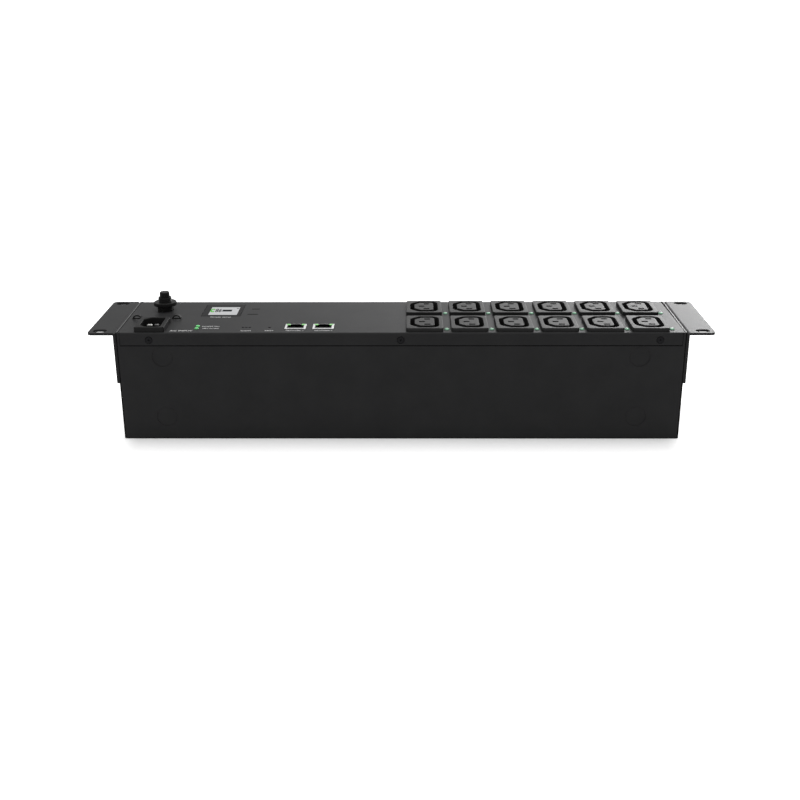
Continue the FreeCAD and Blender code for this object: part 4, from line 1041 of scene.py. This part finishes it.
def display():
    """The lit screen with its gauge, reading and marks."""
    glass_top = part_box("display_glass")[1].z
    screen_mark("screen_lit_area", SCREEN, glass_top, 0.0, 0.0, SCREEN_X, SCREEN_Y)
    z = glass_top + INK
    gauge(z)
    centre = SCREEN_CENTRE + Vector(READING_PLACE)
    words("screen_reading", "86", centre, READING_WIDTH, z + INK_LIFT, SCREEN_DARK, READING_STRETCH)
    for name, x, y, size_x, size_y in SCREEN_MARKS:
        screen_mark(name, SCREEN_DARK, z, x, y, size_x, size_y)


# Stage, light and camera

def seen_directly(tree):
    """1 for rays from the camera and from mirror or glass surfaces, which see plain white."""
    path = tree.nodes.new("ShaderNodeLightPath")
    found = path.outputs["Is Camera Ray"]
    for kind in ("Is Glossy Ray", "Is Transmission Ray"):
        found = combine(tree, "MAXIMUM", found, path.outputs[kind])
    return found


def plain_light(tree, strength):
    """Even white light from all sides."""
    made = tree.nodes.new("ShaderNodeBackground")
    made.inputs["Color"].default_value = (1.0, 1.0, 1.0, 1.0)
    made.inputs["Strength"].default_value = strength
    return made.outputs["Background"]


def world():
    """Soft light on the unit, and a white background."""
    made = bpy.data.worlds.new("studio")
    made.use_nodes = True
    tree = made.node_tree
    tree.nodes.clear()
    mix = tree.nodes.new("ShaderNodeMixShader")
    output = tree.nodes.new("ShaderNodeOutputWorld")
    tree.links.new(seen_directly(tree), mix.inputs["Fac"])
    tree.links.new(plain_light(tree, AMBIENT), mix.inputs[1])
    tree.links.new(plain_light(tree, 1.0), mix.inputs[2])
    tree.links.new(mix.outputs["Shader"], output.inputs["Surface"])
    scene.world = made


def floor_glow(tree):
    """How much the floor glows: less where the unit's shadow lies in front of it."""
    place = tree.nodes.new("ShaderNodeSeparateXYZ")
    tree.links.new(object_space(tree), place.inputs["Vector"])
    sideways = combine(tree, "ABSOLUTE", place.outputs["X"])
    shadow = spread(tree, sideways, SHADOW_HALF_X, 1.0, 0.0, smooth=True)
    for ends in (SHADOW_BACK_Y, SHADOW_FRONT_Y[::-1]):
        side = spread(tree, place.outputs["Y"], ends, 1.0, 0.0, smooth=True)
        shadow = combine(tree, "MULTIPLY", shadow, side)
    share = spread(tree, shadow, (0.0, 1.0), GLOW_OPEN, GLOW_SHADOW)
    return combine(tree, "MULTIPLY", seen_directly(tree), share)


def pale_floor():
    """A matt floor that reads white to the camera."""
    made = bpy.data.materials.new("pale_floor")
    made.use_nodes = True
    tree = made.node_tree
    tree.nodes.clear()
    matt = tree.nodes.new("ShaderNodeBsdfDiffuse")
    matt.inputs["Color"].default_value = FLOOR_COLOUR
    glow = tree.nodes.new("ShaderNodeEmission")
    both = tree.nodes.new("ShaderNodeAddShader")
    output = tree.nodes.new("ShaderNodeOutputMaterial")
    tree.links.new(floor_glow(tree), glow.inputs["Strength"])
    tree.links.new(matt.outputs["BSDF"], both.inputs[0])
    tree.links.new(glow.outputs["Emission"], both.inputs[1])
    tree.links.new(both.outputs["Shader"], output.inputs["Surface"])
    return made


def floor():
    """The surface that the unit lies on."""
    bm = bmesh.new()
    bmesh.ops.create_grid(bm, x_segments=1, y_segments=1, size=FLOOR_SIDE / 2)
    mesh = bpy.data.meshes.new("floor")
    bm.to_mesh(mesh)
    bm.free()
    mesh.materials.append(pale_floor())
    ground = bpy.data.objects.new("floor", mesh)
    scene.collection.objects.link(ground)


def lamp(name, place, aim, width, height, power):
    """A soft rectangular lamp that the camera doesn't see."""
    light = bpy.data.lights.new(name, "AREA")
    light.shape = "RECTANGLE"
    light.size = width
    light.size_y = height
    light.energy = power
    made = bpy.data.objects.new(name, light)
    made.location = place
    made.rotation_euler = (Vector(aim) - Vector(place)).to_track_quat("-Z", "Y").to_euler()
    made.visible_camera = False
    scene.collection.objects.link(made)


def lamps():
    """Lamps above and in front, and a back light in upright strips that grow stronger to the right."""
    for settings in LAMPS:
        lamp(*settings)
    for i in range(BACK_STRIPS):
        place = Vector(BACK_FIRST) + Vector((BACK_STRIP_WIDTH * i, 0.0, 0.0))
        aim = place + Vector(BACK_AIM)
        power = BACK_POWER * BACK_GROWTH ** i
        lamp("lamp_back_%d" % i, place, aim, BACK_STRIP_WIDTH, BACK_STRIP_HEIGHT, power)


def camera():
    """The photograph's view."""
    lens_data = bpy.data.cameras.new("camera")
    lens_data.lens = CAMERA_LENS_MM
    lens_data.sensor_width = CAMERA_SENSOR_MM
    made = bpy.data.objects.new("camera", lens_data)
    turned = Matrix.Rotation(CAMERA_TURN, 4, "Z") @ Matrix.Rotation(CAMERA_TILT, 4, "X")
    made.matrix_world = Matrix.Translation(CAMERA_PLACE) @ turned @ Matrix.Rotation(CAMERA_ROLL, 4, "Z")
    scene.collection.objects.link(made)
    scene.camera = made


dress_nodes()
soften_edges()
for outlet_number in range(1, OUTLET_COUNT + 1):
    outlet(outlet_number)
inlet()
outlet_lights()
status_lenses()
edge_strips()
for jack_number in range(1, JACK_COUNT + 1):
    jack_collar(jack_number)
breaker_button()
ring_nut()
neck_thread()
screws("panel_screws", "panel_screw_set", PANEL_SCREW, 1)
screws("ear_screws", "ear_screw_set", EAR_SCREW, 0)
labels_and_shade_bars()
display()
world()
floor()
lamps()
camera()
scene.view_settings.view_transform = "Standard"
